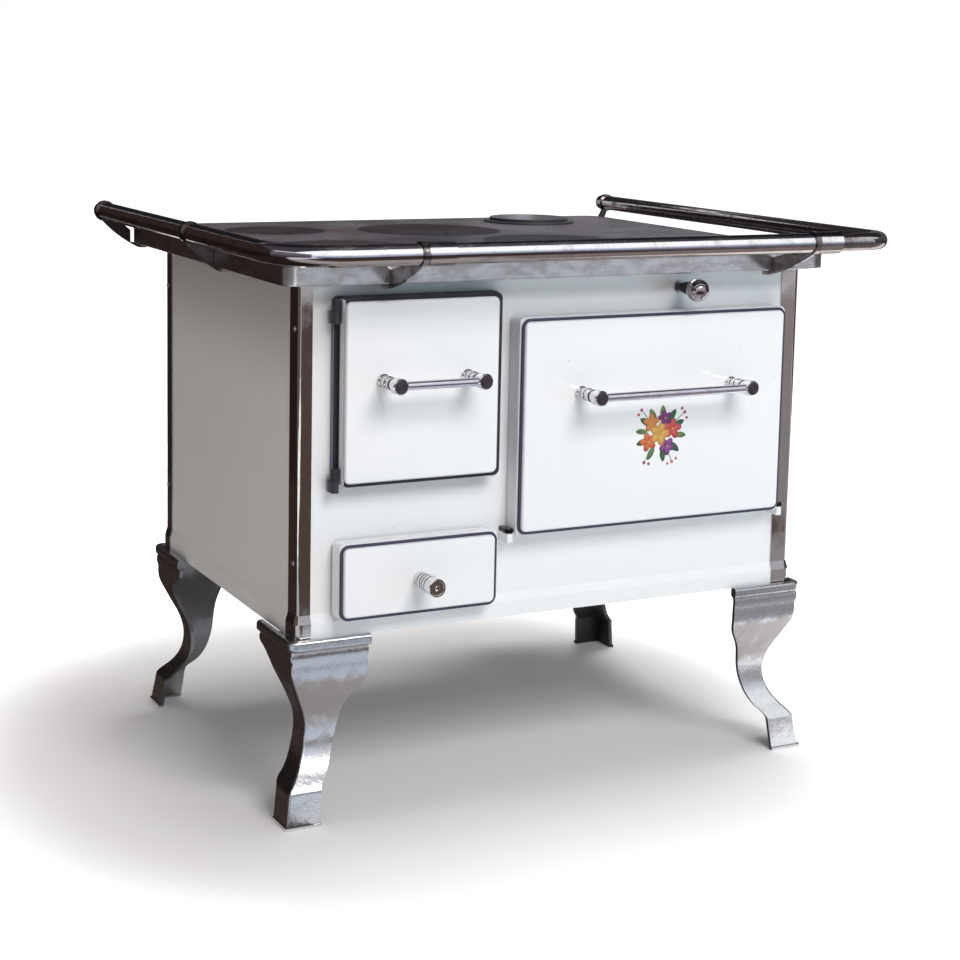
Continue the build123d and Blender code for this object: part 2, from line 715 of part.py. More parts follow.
def raised_panel(x0, x1, z0, z1, back, thick):
    """Enamelled panel with a rounded rim, standing on a narrower back."""
    with BuildPart() as panel:
        with BuildSketch(wall_plane(back)):
            rounded(x0 + groove_in, x1 - groove_in, z0 + groove_in, z1 - groove_in,
                    corner_r - groove_in)
        extrude(amount=groove_t)
        with BuildSketch(wall_plane(back - groove_t)):
            rounded(x0, x1, z0, z1, corner_r)
        extrude(amount=thick - groove_t)
        fillet(panel.faces().sort_by(Axis.Y)[0].edges(), rim_r)
    return panel


fire_face = cast_front - fire_panel_t
fire_door_panel = raised_panel(
    cast_x0 + fire_panel_in[0], cast_x1 - fire_panel_in[1], cast_z0 + fire_panel_in[2],
    cast_z1 - fire_panel_in[2], cast_front, fire_panel_t,
)
finish(fire_door_panel, "fire_door_panel")


def turned(x, z, face, profile):
    """Piece turned about an axis that stands out of a face, from (distance, radius) rows."""
    with BuildPart() as piece:
        with BuildSketch(Plane(origin=(x, face, z), x_dir=(0, -1, 0), z_dir=(1, 0, 0))):
            with BuildLine():
                Polyline((0, 0), *profile, (profile[-1][0], 0), close=True)
            make_face()
        revolve(axis=Axis((x, face, z), (0, -1, 0)))
    return piece.part


def handle_profile():
    """Root, two beads and a round cap, along a handle's post."""
    neck = handle_out - cap_len
    rows = [(0.0, spool_r + 1.5), (4.0, spool_r + 1.5), (5.5, spool_r)]
    for bead_at in (neck * 0.45, neck * 0.7):
        rows += [(bead_at, spool_r), (bead_at + 1.0, spool_r + 1.2)]
        rows += [(bead_at + 3.5, spool_r + 1.2), (bead_at + 4.5, spool_r)]
    rows += [(neck, spool_r - 0.5), (neck, cap_r - 1.0), (neck + 1.0, cap_r)]
    rows += [(handle_out - 1.5, cap_r), (handle_out, cap_r - 1.5)]
    return rows


for name, places, z, face in (
    ("fire", fire_handle_x, fire_handle_z, fire_face),
    ("oven", oven_handle_x, oven_handle_z, -panel_y - oven_stand_off - oven_pan_t - oven_panel_t),
):
    with BuildPart() as handle_posts:
        for x in places:
            add(turned(x, z, face, handle_profile()))
    finish(handle_posts, f"{name}_handle_posts")

    with BuildPart() as handle_bar:
        rod_x(face - handle_out + cap_len / 2, z, bar_r, places[0], places[1])
        for x in places:
            rod_y(x, z, cap_r, face - handle_out - 1, face, mode=Mode.SUBTRACT)
    finish(handle_bar, f"{name}_handle_bar")

# === oven ===============================================================================
pan_x0 = oven_x0 - oven_lap_left
pan_x1 = oven_x1 + oven_lap_right
pan_z0 = oven_z0 - oven_lap_low
pan_z1 = oven_z1 + oven_lap_high
pan_back = -(panel_y + oven_stand_off)
pan_front = pan_back - oven_pan_t

# Door pan: enamelled tray, open behind, with the pin holes in its sides.
with BuildPart() as oven_door_pan:
    with BuildSketch(wall_plane(pan_back)):
        rounded(pan_x0, pan_x1, pan_z0, pan_z1, corner_r)
    extrude(amount=oven_pan_t)
    fillet(oven_door_pan.faces().sort_by(Axis.Y)[0].edges(), groove_t)
    with BuildSketch(wall_plane(pan_back)):
        rounded(pan_x0 + oven_sheet, pan_x1 - oven_sheet, pan_z0 + oven_sheet,
                pan_z1 - oven_sheet, corner_r - oven_sheet)
    extrude(amount=oven_pan_t - oven_sheet, mode=Mode.SUBTRACT)
    rod_x(oven_pin_y, oven_pin_z, pin_r + pin_fit, pan_x0 - 1, pan_x1 + 1, mode=Mode.SUBTRACT)
finish(oven_door_pan, "oven_door_pan")

oven_door_panel = raised_panel(
    pan_x0 + oven_panel_in, pan_x1 - oven_panel_in, pan_z0 + oven_panel_in,
    pan_z1 - oven_panel_in, pan_front, oven_panel_t,
)
finish(oven_door_panel, "oven_door_panel")

# Liner: closes the pan behind and plugs the oven's mouth.
with BuildPart() as oven_door_liner:
    with BuildSketch(wall_plane(pan_back)):
        rounded(pan_x0 + oven_sheet, pan_x1 - oven_sheet, oven_pin_z + pin_r + 4.0,
                pan_z1 - oven_sheet, corner_r - oven_sheet)
    extrude(amount=oven_sheet)
    with BuildSketch(wall_plane(pan_back)):
        rounded(oven_x0 + plug_gap, oven_x1 - plug_gap, oven_z0 + plug_gap,
                oven_z1 - plug_gap, corner_r - oven_sheet)
    extrude(amount=-plug_deep)
    with BuildSketch(wall_plane(pan_back - oven_sheet)):
        rounded(oven_x0 + plug_gap + oven_sheet, oven_x1 - plug_gap - oven_sheet,
                oven_z0 + plug_gap + oven_sheet, oven_z1 - plug_gap - oven_sheet,
                corner_r - 2 * oven_sheet)
    extrude(amount=-plug_deep, mode=Mode.SUBTRACT)
finish(oven_door_liner, "oven_door_liner")

# Hinge lugs: enamelled blocks on the front panel whose pins enter the pan's sides.
with BuildPart() as oven_hinge_lugs:
    for edge, side in ((pan_x0, -1), (pan_x1, 1)):
        inner, outer = edge + side * lug_gap, edge + side * (lug_gap + lug_w)
        block(min(outer, inner), max(outer, inner), oven_pin_y - 2 * pin_r, -panel_y,
              oven_pin_z - lug_low, oven_pin_z + lug_high)
        ends = (edge - side * 4 * oven_sheet, outer + side * pin_r)
        rod_x(oven_pin_y, oven_pin_z, pin_r, min(ends), max(ends))
finish(oven_hinge_lugs, "oven_hinge_lugs")

# Oven box: sheet box with a flange behind the front panel and a runner on each side.
with BuildPart() as oven_box:
    oven_back = oven_depth - inner_y
    wall = oven_sheet
    block(oven_x0 - wall, oven_x1 + wall, -inner_y, oven_back + wall, oven_z0 - wall,
          oven_z1 + wall)
    block(oven_x0 - oven_flange, oven_x1 + oven_flange, -inner_y, wall - inner_y,
          oven_z0 - oven_flange, oven_z1 + oven_flange)
    block(oven_x0, oven_x1, -inner_y - 1, oven_back, oven_z0, oven_z1, mode=Mode.SUBTRACT)
    for x in (oven_x0, oven_x1 - runner_w):
        block(x, x + runner_w, plug_deep + 2 - inner_y, oven_back, runner_z - wall, runner_z)
finish(oven_box, "oven_box")

# Oven stand: folded tray that carries the oven above the bottom pan.
with BuildPart() as oven_stand:
    stand_x0 = oven_x0 + 10.0
    stand_x1 = oven_x1 - 10.0
    block(stand_x0, stand_x1, 20 - inner_y, oven_back - 20, pan_top, oven_z0 - wall)
    block(stand_x0 + wall, stand_x1 - wall, -inner_y, oven_back, pan_top, oven_z0 - 2 * wall,
          mode=Mode.SUBTRACT)
    for x in (stand_x0, stand_x1 - 20.0):
        block(x, x + 20.0, 20 - inner_y, oven_back - 20, pan_top, pan_top + wall)
finish(oven_stand, "oven_stand")

# Oven rack: round rim with rods from front to back.
with BuildPart() as oven_rack:
    rack_x0 = oven_x0 + rack_gap + rack_rim_r
    rack_x1 = oven_x1 - rack_gap - rack_rim_r
    rack_y0 = rack_front - panel_y + rack_rim_r
    rack_y1 = rack_y0 + rack_depth
    rack_z = runner_z + seat_gap + rack_rim_r
    with BuildLine(Plane.XY.offset(rack_z)) as rim:
        FilletPolyline((rack_x0, rack_y0), (rack_x1, rack_y0), (rack_x1, rack_y1),
                       (rack_x0, rack_y1), radius=4 * rack_rim_r, close=True)
    rim_wire = rim.wire()
    with BuildSketch(Plane(origin=rim_wire @ 0, z_dir=rim_wire % 0)):
        Circle(rack_rim_r)
    sweep(path=rim_wire)
    step = (rack_x1 - rack_x0) / (rack_rods + 1)
    for i in range(rack_rods):
        rod_x0 = rack_x0 + (i + 1) * step
        rod_y(rod_x0, rack_z, rack_rod_r, rack_y0, rack_y1)
finish(oven_rack, "oven_rack")

# === ash drawer =========================================================================
ash_x0 = drawer_x0 - drawer_lap_side
ash_x1 = drawer_x1 + drawer_lap_side
ash_z0 = drawer_z0 - drawer_lap_low
ash_z1 = drawer_z1 + drawer_lap_high
ash_back = -(panel_y + drawer_stand_off)
ash_face = ash_back - drawer_pan_t - drawer_panel_t

with BuildPart() as ash_drawer_box:
    with BuildSketch(wall_plane(ash_back)):
        rounded(ash_x0, ash_x1, ash_z0, ash_z1, corner_r)
    extrude(amount=drawer_pan_t)
    fillet(ash_drawer_box.faces().sort_by(Axis.Y)[0].edges(), groove_t)
    with BuildSketch(wall_plane(ash_back)):
        rounded(ash_x0 + oven_sheet, ash_x1 - oven_sheet, ash_z0 + oven_sheet,
                ash_z1 - oven_sheet, corner_r - oven_sheet)
    extrude(amount=drawer_pan_t - oven_sheet, mode=Mode.SUBTRACT)
    pan_wall = ash_back - drawer_pan_t + oven_sheet
    box_x0 = drawer_x0 + drawer_gap
    box_x1 = drawer_x1 - drawer_gap
    box_z0 = drawer_z0 + drawer_gap
    box_z1 = box_z0 + drawer_box_h
    block(box_x0, box_x1, pan_wall - 1, ash_back + drawer_len, box_z0, box_z1)
    block(box_x0 + drawer_sheet, box_x1 - drawer_sheet, pan_wall,
          ash_back + drawer_len - drawer_sheet, box_z0 + drawer_sheet, box_z1 + 1,
          mode=Mode.SUBTRACT)
finish(ash_drawer_box, "ash_drawer_box")

ash_drawer_front = raised_panel(
    ash_x0 + drawer_panel_in, ash_x1 - drawer_panel_in, ash_z0 + drawer_panel_in,
    ash_z1 - drawer_panel_in, ash_back - drawer_pan_t, drawer_panel_t,
)
finish(ash_drawer_front, "ash_drawer_front")

with BuildPart() as ash_drawer_knob:
    add(turned(knob_x, knob_z, ash_face, [
        (0.0, knob_r - 2.0), (3.0, knob_r - 2.0), (4.0, knob_r - 1.5), (20.0, knob_r - 1.0),
        (20.0, knob_r - 3.0), (23.0, knob_r - 3.0), (23.0, knob_r - 0.5), (27.0, knob_r - 0.5),
        (27.0, knob_r - 3.0), (30.0, knob_r - 3.0), (30.0, knob_r), (knob_out - 1.0, knob_r),
        (knob_out, knob_r - 1.0), (knob_out, knob_r - 2.5), (knob_out - 1.5, knob_r - 3.0),
        (knob_out - 1.5, 3.5), (knob_out - 0.5, 2.5),
    ]))
finish(ash_drawer_knob, "ash_drawer_knob")

# === damper =============================================================================
# Guide: bush in the front panel and a strap over the oven. The slide runs in both.
with BuildPart() as damper_guide:
    rod_y(damper_x, damper_z, damper_bush_r, -panel_y - 3.0, -panel_y)
    rod_y(damper_x, damper_z, damper_bush_r - 2.0, -panel_y, 4.0 - inner_y)
    strap_top = damper_z + 2 * damper_rod_r
    block(damper_x - 15, damper_x + 15, damper_guide_y, damper_guide_y + 3.0,
          oven_z1 + wall, strap_top)
    block(damper_x - 15, damper_x + 15, damper_guide_y, damper_guide_y + 20.0,
          oven_z1 + wall, oven_z1 + 2 * wall)
    rod_y(damper_x, damper_z, damper_rod_r + pin_fit, -panel_y - 5.0, damper_guide_y + 5.0,
          mode=Mode.SUBTRACT)
finish(damper_guide, "damper_guide")

ball_y = -panel_y - damper_ball_out
with BuildPart() as damper_slide:
    plate_back = inner_y - 0.5
    rod_y(damper_x, damper_z, damper_rod_r, ball_y + damper_ball_r - 1.0, plate_back - 1.0)
    low, high = damper_plate_z
    block(flue_x - damper_plate_w / 2, flue_x + damper_plate_w / 2, plate_back - 3.0,
          plate_back, low, high)
finish(damper_slide, "damper_slide")

with BuildPart() as damper_knob:
    add(turned(damper_x, damper_z, -panel_y - 7.0, [
        (0.0, 0.6 * damper_neck_r), (6.0, 0.65 * damper_neck_r), (6.0, 0.75 * damper_neck_r),
        (12.0, 0.75 * damper_neck_r), (13.0, 0.9 * damper_neck_r), (19.0, 0.9 * damper_neck_r),
        (20.0, damper_neck_r), (damper_ball_out - 3.0 - 0.8 * damper_ball_r, damper_neck_r),
    ]))
    with Locations((damper_x, ball_y, damper_z)):
        Sphere(damper_ball_r)
    rod_y(damper_x, damper_z, damper_rod_r, ball_y + damper_ball_r - 1.0, 0, mode=Mode.SUBTRACT)
finish(damper_knob, "damper_knob")

# === firebox ============================================================================
# Hearth and ash pit: flanged duct from the grate down to the drawer.
pit_y0 = -inner_y
pit_y1 = ash_back + drawer_len + 6.0
with BuildPart() as ash_pit_housing:
    block(drawer_x0 - pit_sheet, drawer_x1 + pit_sheet, pit_y0, pit_y1 + pit_sheet, pan_top, hearth_z)
    block(firebox_x0 - brick_t, firebox_x1 + brick_t, pit_y0, firebox_y1 + brick_t,
          hearth_z - hearth_t, hearth_z)
    block(drawer_x0, drawer_x1, pit_y0 - 1, pit_y1, box_z0 - seat_gap, drawer_z1,
          mode=Mode.SUBTRACT)
    block(drawer_x0, drawer_x1, pit_y0 + pit_sheet, pit_y1, drawer_z1 - 1, hearth_z + 1,
          mode=Mode.SUBTRACT)
    block(drawer_x0, drawer_x1, pit_y0 + pit_sheet, pit_y1, pan_top - 1,
          box_z0 - seat_gap - pit_sheet, mode=Mode.SUBTRACT)
finish(ash_pit_housing, "ash_pit_housing")

with BuildPart() as fire_grate:
    grate_x0 = firebox_x0 + grate_gap
    grate_x1 = firebox_x1 - grate_gap
    grate_y1 = firebox_y1 - grate_gap
    block(grate_x0, grate_x1, grate_y0, grate_y1, hearth_z, hearth_z + grate_t)
    pitch = (grate_x1 - grate_x0) / (grate_slots + 1)
    with Locations(((grate_x0 + grate_x1) / 2, (grate_y0 + grate_y1) / 2, hearth_z)):
        with GridLocations(pitch, 0, grate_slots, 1):
            Box(pitch * 0.5, grate_y1 - grate_y0 - 60.0, 3 * grate_t, mode=Mode.SUBTRACT)
finish(fire_grate, "fire_grate")

with BuildPart() as fire_bricks:
    row_h = (brick_top - hearth_z) / brick_rows
    brick_y0 = 10.0 - inner_y
    brick_l = (firebox_y1 - brick_y0) / 2
    for row in range(brick_rows):
        z0 = hearth_z + row * row_h
        z1 = z0 + row_h - brick_joint
        for x0 in (firebox_x0 - brick_t, firebox_x1):
            for y0 in (brick_y0, brick_y0 + brick_l):
                block(x0, x0 + brick_t, y0, y0 + brick_l - brick_joint, z0, z1)
        block(firebox_x0 - brick_t, firebox_x1 + brick_t, firebox_y1, firebox_y1 + brick_t, z0, z1)
finish(fire_bricks, "fire_bricks")

# === guard rail =========================================================================
def rail_tube(points, radius, bend):
    """Bent tube along a level path."""
    with BuildPart() as tube:
        with BuildLine(Plane.XY.offset(rail_z)) as run:
            FilletPolyline(*points, radius=bend)
        with BuildSketch(Plane(origin=(*points[0], rail_z), z_dir=(1, 0, 0))):
            Circle(radius)
            Circle(radius - tube_wall, mode=Mode.SUBTRACT)
        sweep(path=run.wire())
    return tube


with BuildPart() as front_rail:
    rod_x(rail_y, rail_z, tube_r, left_joint_x, right_joint_x)
    rod_x(rail_y, rail_z, tube_r - tube_wall, left_joint_x, right_joint_x, mode=Mode.SUBTRACT)
finish(front_rail, "front_rail")

left_rail = rail_tube([(left_joint_x, rail_y), (-rail_x, rail_y), (-rail_x, rail_end_y)],
                      tube_r, left_bend)
finish(left_rail, "left_rail")

right_rail = rail_tube([(right_joint_x, rail_y), (right_rail_x, rail_y),
                        (right_rail_x, rail_end_y)],
                       right_tube_r, right_bend)
finish(right_rail, "right_rail")

with BuildPart() as rail_sleeves:
    for x, low_r in ((left_joint_x, tube_r), (right_joint_x, right_tube_r)):
        x0 = x - sleeve_len / 2
        x1 = x + sleeve_len / 2
        rod_x(rail_y, rail_z, tube_r + sleeve_wall, x0, x1)
        rod_x(rail_y, rail_z, tube_r, min(x, x0), x1, mode=Mode.SUBTRACT)
finish(rail_sleeves, "rail_sleeves")

with BuildPart() as rail_end_caps:
    for x, radius in ((-rail_x, tube_r), (right_rail_x, right_tube_r)):
        dome_r = (radius**2 + end_dome**2) / (2 * end_dome)
        dome_mid = end_dome - dome_r + (dome_r**2 - (0.6 * radius) ** 2) ** 0.5
        rod_y(x, rail_z, radius - tube_wall, rail_end_y - end_plug, rail_end_y)
        with BuildSketch(Plane(origin=(x, rail_end_y, rail_z), x_dir=(1, 0, 0), z_dir=(0, 0, 1))):
            with BuildLine():
                Polyline((0, end_dome), (0, 0), (radius, 0))
                ThreePointArc((radius, 0), (0.6 * radius, dome_mid), (0, end_dome))
            make_face()
        revolve(axis=Axis((x, rail_end_y, rail_z), (0, 1, 0)))
finish(rail_end_caps, "rail_end_caps")


# Brackets: a ring round the tube, and a pressed leaf down to a tab under the band.
def bracket(bolt_at, ring_at, ring_axis, radius):
    """Bracket from its bolt, under the band, to its ring on a rail of the given radius."""
    bolt_x, bolt_y = bolt_at
    ring_x, ring_y = ring_at
    out = Vector(ring_x - bolt_x, ring_y - bolt_y)
    reach = out.length
    out = out.normalized()
    clear = bracket_out / abs(out.X if ring_axis == "Y" else out.Y) + 1.0
    ring_r = radius + clip_t
    tab_z = panel_top - tab_t
    root = bolt_hex_r + 0.5
    tip = (reach + 0.3 * radius, rail_z - ring_r + 1.0)
    low = (root, tab_z - leaf_root)
    with BuildPart() as piece:
        leaf = Plane(origin=(bolt_x, bolt_y, 0), x_dir=(out.X, out.Y, 0),
                     z_dir=(out.Y, -out.X, 0))
        with BuildSketch(leaf):
            with BuildLine():
                Polyline(
                    low, (root, panel_top), (clear, panel_top), (clear, plate_top - 8.0),
                    (reach - radius, rail_z - 0.55 * radius), (reach, rail_z), tip,
                )
                mid = (0.5 * (tip[0] + low[0]), 0.5 * (tip[1] + low[1]) - leaf_bow)
                ThreePointArc(tip, mid, low)
            make_face()
        extrude(amount=leaf_t / 2, both=True)
        if ring_axis == "X":
            rod_x(ring_y, rail_z, ring_r, ring_x - clip_w / 2, ring_x + clip_w / 2)
        else:
            rod_y(ring_x, rail_z, ring_r, ring_y - clip_w / 2, ring_y + clip_w / 2)
        block(bolt_x - tab_w / 2, bolt_x + tab_w / 2, bolt_y - tab_w / 2, bolt_y + tab_w / 2,
              tab_z, panel_top)
        disc(bolt_x, bolt_y, bolt_r + bolt_fit, tab_z - 1, panel_top + 1, mode=Mode.SUBTRACT)
        if ring_axis == "X":
            rod_x(ring_y, rail_z, radius, ring_x - 3 * clip_w, ring_x + 3 * clip_w, mode=Mode.SUBTRACT)
        else:
            rod_y(ring_x, rail_z, radius, ring_y - 3 * clip_w, ring_y + 3 * clip_w, mode=Mode.SUBTRACT)
    return piece


rear_clip_y = rail_end_y - rear_clip_in
brackets = (
    ("bracket_front_left", bracket_bolts[0], (front_clip_x[0], rail_y), "X", tube_r),
    ("bracket_front_right", bracket_bolts[1], (front_clip_x[1], rail_y), "X", tube_r),
    ("bracket_left_middle", bracket_bolts[2], (-rail_x, middle_clip_y), "Y", tube_r),
    ("bracket_left_rear", bracket_bolts[3], (-rail_x, rear_clip_y), "Y", tube_r),
    ("bracket_right_rear", bracket_bolts[4], (right_rail_x, rear_clip_y), "Y", right_tube_r),
)
for name, bolt_at, ring_at, ring_axis, radius in brackets:
    finish(bracket(bolt_at, ring_at, ring_axis, radius), name)

# Bolts: hexagon heads below, nuts above, through the brackets and the legs.
with BuildPart() as hex_bolts:
    stacks = [(x, y, panel_top - tab_t, flange_top) for x, y in bracket_bolts]
    stacks += [(x, y, leg_h - pad_t, pan_top) for x, y in leg_bolts_at]
    for x, y, low, high in stacks:
        for z0 in (low - bolt_head, high):
            with BuildSketch(Plane.XY.offset(z0)):
                with Locations((x, y)):
                    RegularPolygon(bolt_hex_r, 6)
            extrude(amount=bolt_head)
        disc(x, y, bolt_r, low, high)
finish(hex_bolts, "hex_bolts")
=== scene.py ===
from math import cos, pi, radians, sin

import bpy
from mathutils import Matrix, Vector


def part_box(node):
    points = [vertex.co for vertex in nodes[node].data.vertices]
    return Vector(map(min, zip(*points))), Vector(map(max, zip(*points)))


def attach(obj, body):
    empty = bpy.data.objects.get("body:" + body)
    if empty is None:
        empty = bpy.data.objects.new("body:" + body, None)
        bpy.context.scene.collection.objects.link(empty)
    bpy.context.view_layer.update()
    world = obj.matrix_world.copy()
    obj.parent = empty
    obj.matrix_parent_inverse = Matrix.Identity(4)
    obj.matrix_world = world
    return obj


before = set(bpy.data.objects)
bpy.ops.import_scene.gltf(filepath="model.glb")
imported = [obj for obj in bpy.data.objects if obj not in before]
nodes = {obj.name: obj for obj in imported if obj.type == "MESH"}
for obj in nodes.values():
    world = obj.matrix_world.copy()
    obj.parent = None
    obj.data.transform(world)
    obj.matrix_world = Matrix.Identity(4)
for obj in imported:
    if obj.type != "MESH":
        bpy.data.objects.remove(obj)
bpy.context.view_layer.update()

# --- Camera ---------------------------------------------------------------------------
# A short telephoto at standing height, left of the stove and a little above its plate,
# turned to the right and slightly down. The shift only places the stove in the frame.
camera_place = (-1.3311, -2.5872, 1.0159)
camera_yaw = 26.0
camera_pitch = -7.67
camera_roll = 1.01
photo_side = 960
focal_px = 1918.0
axis_px = (432.8, 327.7)
sensor_mm = 36.0


def placed(name, data):
    """An object of the scene that shows this data."""
    thing = bpy.data.objects.new(name, data)
    bpy.context.scene.collection.objects.link(thing)
    return thing


camera_data = bpy.data.cameras.new("camera")
camera_data.sensor_width = sensor_mm
camera_data.lens = focal_px / photo_side * sensor_mm
camera_data.shift_x = (photo_side / 2 - axis_px[0]) / photo_side
camera_data.shift_y = (axis_px[1] - photo_side / 2) / photo_side
camera_data.clip_end = 60.0
camera = placed("camera", camera_data)
camera.matrix_world = (
    Matrix.Translation(camera_place)
    @ Matrix.Rotation(radians(-camera_yaw), 4, "Z")
    @ Matrix.Rotation(radians(90 + camera_pitch), 4, "X")
    @ Matrix.Rotation(radians(camera_roll), 4, "Z")
)
bpy.context.scene.camera = camera


# --- Studio ---------------------------------------------------------------------------
# A pale paper floor without an edge, a wide soft box in front, one overhead and a weak
# bluish one at the right. Cloths hang and lie round the stove where bright metal would
# mirror plain white, and only reflections see them. The paper keeps the shadow, and its
# glow, which fades towards the stove, paints a soft grey pool round it.
class Value:
    """A number on a shader socket; a Python expression on it adds its Math nodes."""

    def __init__(self, graph, socket):
        self.graph = graph
        self.socket = socket

    def math(self, operation, other=None, flip=False):
        node = self.graph.tree.nodes.new("ShaderNodeMath")
        node.operation = operation
        items = [self] if other is None else [other, self] if flip else [self, other]
        for socket, item in zip(node.inputs, items):
            self.graph.feed(socket, item)
        return Value(self.graph, node.outputs[0])

    def __add__(self, other):
        return self.math("ADD", other)

    def __sub__(self, other):
        return self.math("SUBTRACT", other)

    def __rsub__(self, other):
        return self.math("SUBTRACT", other, flip=True)

    def __mul__(self, other):
        return self.math("MULTIPLY", other)

    def __truediv__(self, other):
        return self.math("DIVIDE", other)

    def __pow__(self, other):
        return self.math("POWER", other)

    def __lt__(self, other):
        return self.math("LESS_THAN", other)

    def __gt__(self, other):
        return self.math("GREATER_THAN", other)

    def __abs__(self):
        return self.math("ABSOLUTE")

    __radd__ = __add__
    __rmul__ = __mul__

    def least(self, other):
        return self.math("MINIMUM", other)

    def most(self, other):
        return self.math("MAXIMUM", other)

    def sine(self):
        return self.math("SINE")

    def root(self):
        return self.math("SQRT")

    def rise(self, low, high):
        """0 below low, 1 above high and a soft step between; low > high falls instead."""
        step = self.graph.node("ShaderNodeMapRange", {"interpolation_type": "SMOOTHSTEP"},
                               Value=self, From_Min=low, From_Max=high)
        return Value(self.graph, step.outputs[0])

    def within(self, starts, full_from, full_to, ends):
        """1 from full_from to full_to, with a soft step from starts and one to ends."""
        return self.rise(starts, full_from) * self.rise(ends, full_to)


class Graph:
    """A node tree with one way to add nodes."""

    def __init__(self, tree):
        self.tree = tree

    def feed(self, socket, item):
        if isinstance(item, Value):
            item = item.socket
        if isinstance(item, bpy.types.NodeSocket):
            self.tree.links.new(item, socket)
        else:
            socket.default_value = item

    def node(self, kind, settings=None, stops=None, **values):
        node = self.tree.nodes.new(kind)
        for key, setting in (settings or {}).items():
            setattr(node, key, setting)
        if stops:
            ramp = node.color_ramp
            while len(ramp.elements) < len(stops):
                ramp.elements.new(1.0)
            for element, (place, colour) in zip(ramp.elements, stops):
                element.position = place
                element.color = (*colour, 1.0)
        for key, item in values.items():
            self.feed(node.inputs[key.replace("_", " ")], item)
        return node

    def blend(self, factor, first, second, way="MIX"):
        mix = self.node("ShaderNodeMix", {"data_type": "RGBA", "blend_type": way})
        self.feed(mix.inputs[0], factor)
        for socket, item in ((mix.inputs[6], first), (mix.inputs[7], second)):
            if isinstance(item, tuple) and len(item) == 3:
                item = (*item, 1.0)
            self.feed(socket, item)
        return mix.outputs[2]

    def in_sight(self):
        """1 for what the camera sees, straight or by way of a mirror or glass."""
        rays = self.node("ShaderNodeLightPath").outputs
        straight, mirrored, through = (Value(self, rays["Is " + kind + " Ray"])
                                       for kind in ("Camera", "Glossy", "Transmission"))
        return straight.most(mirrored).most(through)


class Finish(Graph):
    """A material on the piece's own coordinates, in metres."""

    def __init__(self, name, **plain):
        self.material = bpy.data.materials.new(name)
        self.material.use_nodes = True
        super().__init__(self.material.node_tree)
        self.shader = self.tree.nodes["Principled BSDF"]
        self.spot = self.node("ShaderNodeTexCoord").outputs["Object"]
        self.set(**plain)

    def set(self, **values):
        for key, item in values.items():
            if isinstance(item, tuple) and len(item) == 3:
                item = (*item, 1.0)
            self.feed(self.shader.inputs[key.replace("_", " ")], item)

    def repaint(self, mask, colour, **values):
        """Put another colour, and other values, over the finish where mask is 1."""
        under = self.shader.inputs["Base Color"].links[0].from_socket
        self.set(Base_Color=self.blend(mask, under, colour), **values)

    def parts(self, vector):
        split = self.node("ShaderNodeSeparateXYZ", Vector=vector)
        return [Value(self, socket) for socket in split.outputs]

    def axes(self):
        return self.parts(self.spot)

    def facing(self):
        return self.parts(self.node("ShaderNodeNewGeometry").outputs["True Normal"])

    def noise(self, size, detail=2.0, roughness=0.5, stretch=None):
        """Soft mottling whose features are about size metres across."""
        spot = self.spot
        if stretch:
            spot = self.node("ShaderNodeMapping", Vector=spot, Scale=stretch).outputs[0]
        grain = self.node("ShaderNodeTexNoise", Vector=spot, Scale=1.0 / size, Detail=detail,
                          Roughness=roughness)
        return Value(self, grain.outputs[0])

    def cells(self, size, tone=False):
        """Cells about size metres across: the distance to their middle, or their tone."""
        cell = self.node("ShaderNodeTexVoronoi", Vector=self.spot, Scale=1.0 / size)
        if tone:
            split = self.node("ShaderNodeSeparateColor", Color=cell.outputs["Color"])
            return Value(self, split.outputs[0])
        return Value(self, cell.outputs["Distance"])

    def ramp(self, value, *stops):
        return self.node("ShaderNodeValToRGB", stops=stops, Fac=value).outputs[0]

    def bump(self, height, distance, strength=1.0):
        """Height 0 to 1 stands for distance metres of relief."""
        relief = self.node("ShaderNodeBump", Height=height, Distance=distance,
                           Strength=strength)
        self.feed(self.shader.inputs["Normal"], relief.outputs[0])


def coat(finish, *names):
    """Give CAD pieces a finish."""
    for name in names:
        for slot in nodes[name].material_slots:
            slot.material = finish.material


def flat_sheet(name, corners, finish):
    sheet_mesh = bpy.data.meshes.new(name)
    sheet_mesh.from_pydata(corners, [], [(0, 1, 2, 3)])
    sheet_mesh.materials.append(finish.material)
    sheet = placed(name, sheet_mesh)
    return sheet


def level_corners(left, right, near, far, z):
    return [(left, near, z), (right, near, z), (right, far, z), (left, far, z)]


floor_half = 14.0
black, white = (0.0, 0.0, 0.0), (1.0, 1.0, 1.0)
paper_low, paper_high = (0.79, 0.79, 0.79), (0.81, 0.81, 0.81)
paper_bounce = (0.70, 0.685, 0.67)   # what the paper throws back on the stove
paper_glow = 0.04
far_glow = 1.0                       # past the painted shadow pool the paper glows plain white
shadow_middle = (-0.10, -0.02)
shadow_reach = (0.55, 1.0)

paper = Finish("studio_paper")
seen = paper.in_sight()
x, y, z = paper.axes()
away = ((x - shadow_middle[0]) ** 2.0 + (y - shadow_middle[1]) ** 2.0).root()
# the glow rises away from shadow_middle; nearer the stove it fades, a painted shadow
outside_painted_shadow = away.rise(*shadow_reach)
fibre = paper.noise(0.004, detail=2)
glow = seen * (outside_painted_shadow * (far_glow - paper_glow) + paper_glow)
paper.set(Base_Color=paper.blend(seen, paper_bounce, paper.blend(fibre, paper_low, paper_high)),
          Roughness=1.0, Specular_IOR_Level=0.0, Emission_Strength=1.0,
          Emission_Color=paper.blend(glow, black, white))
flat_sheet("studio_floor", level_corners(-floor_half, floor_half, -floor_half, floor_half, 0),
           paper)

room_light = (0.262, 0.236, 0.221)
world = bpy.data.worlds.new("studio_surround")
bpy.context.scene.world = world
world.use_nodes = True
surround = Graph(world.node_tree)
backdrop = world.node_tree.nodes["Background"]
surround.feed(backdrop.inputs["Color"],
              surround.blend(surround.in_sight(), room_light, white))
backdrop.inputs["Strength"].default_value = 1.0


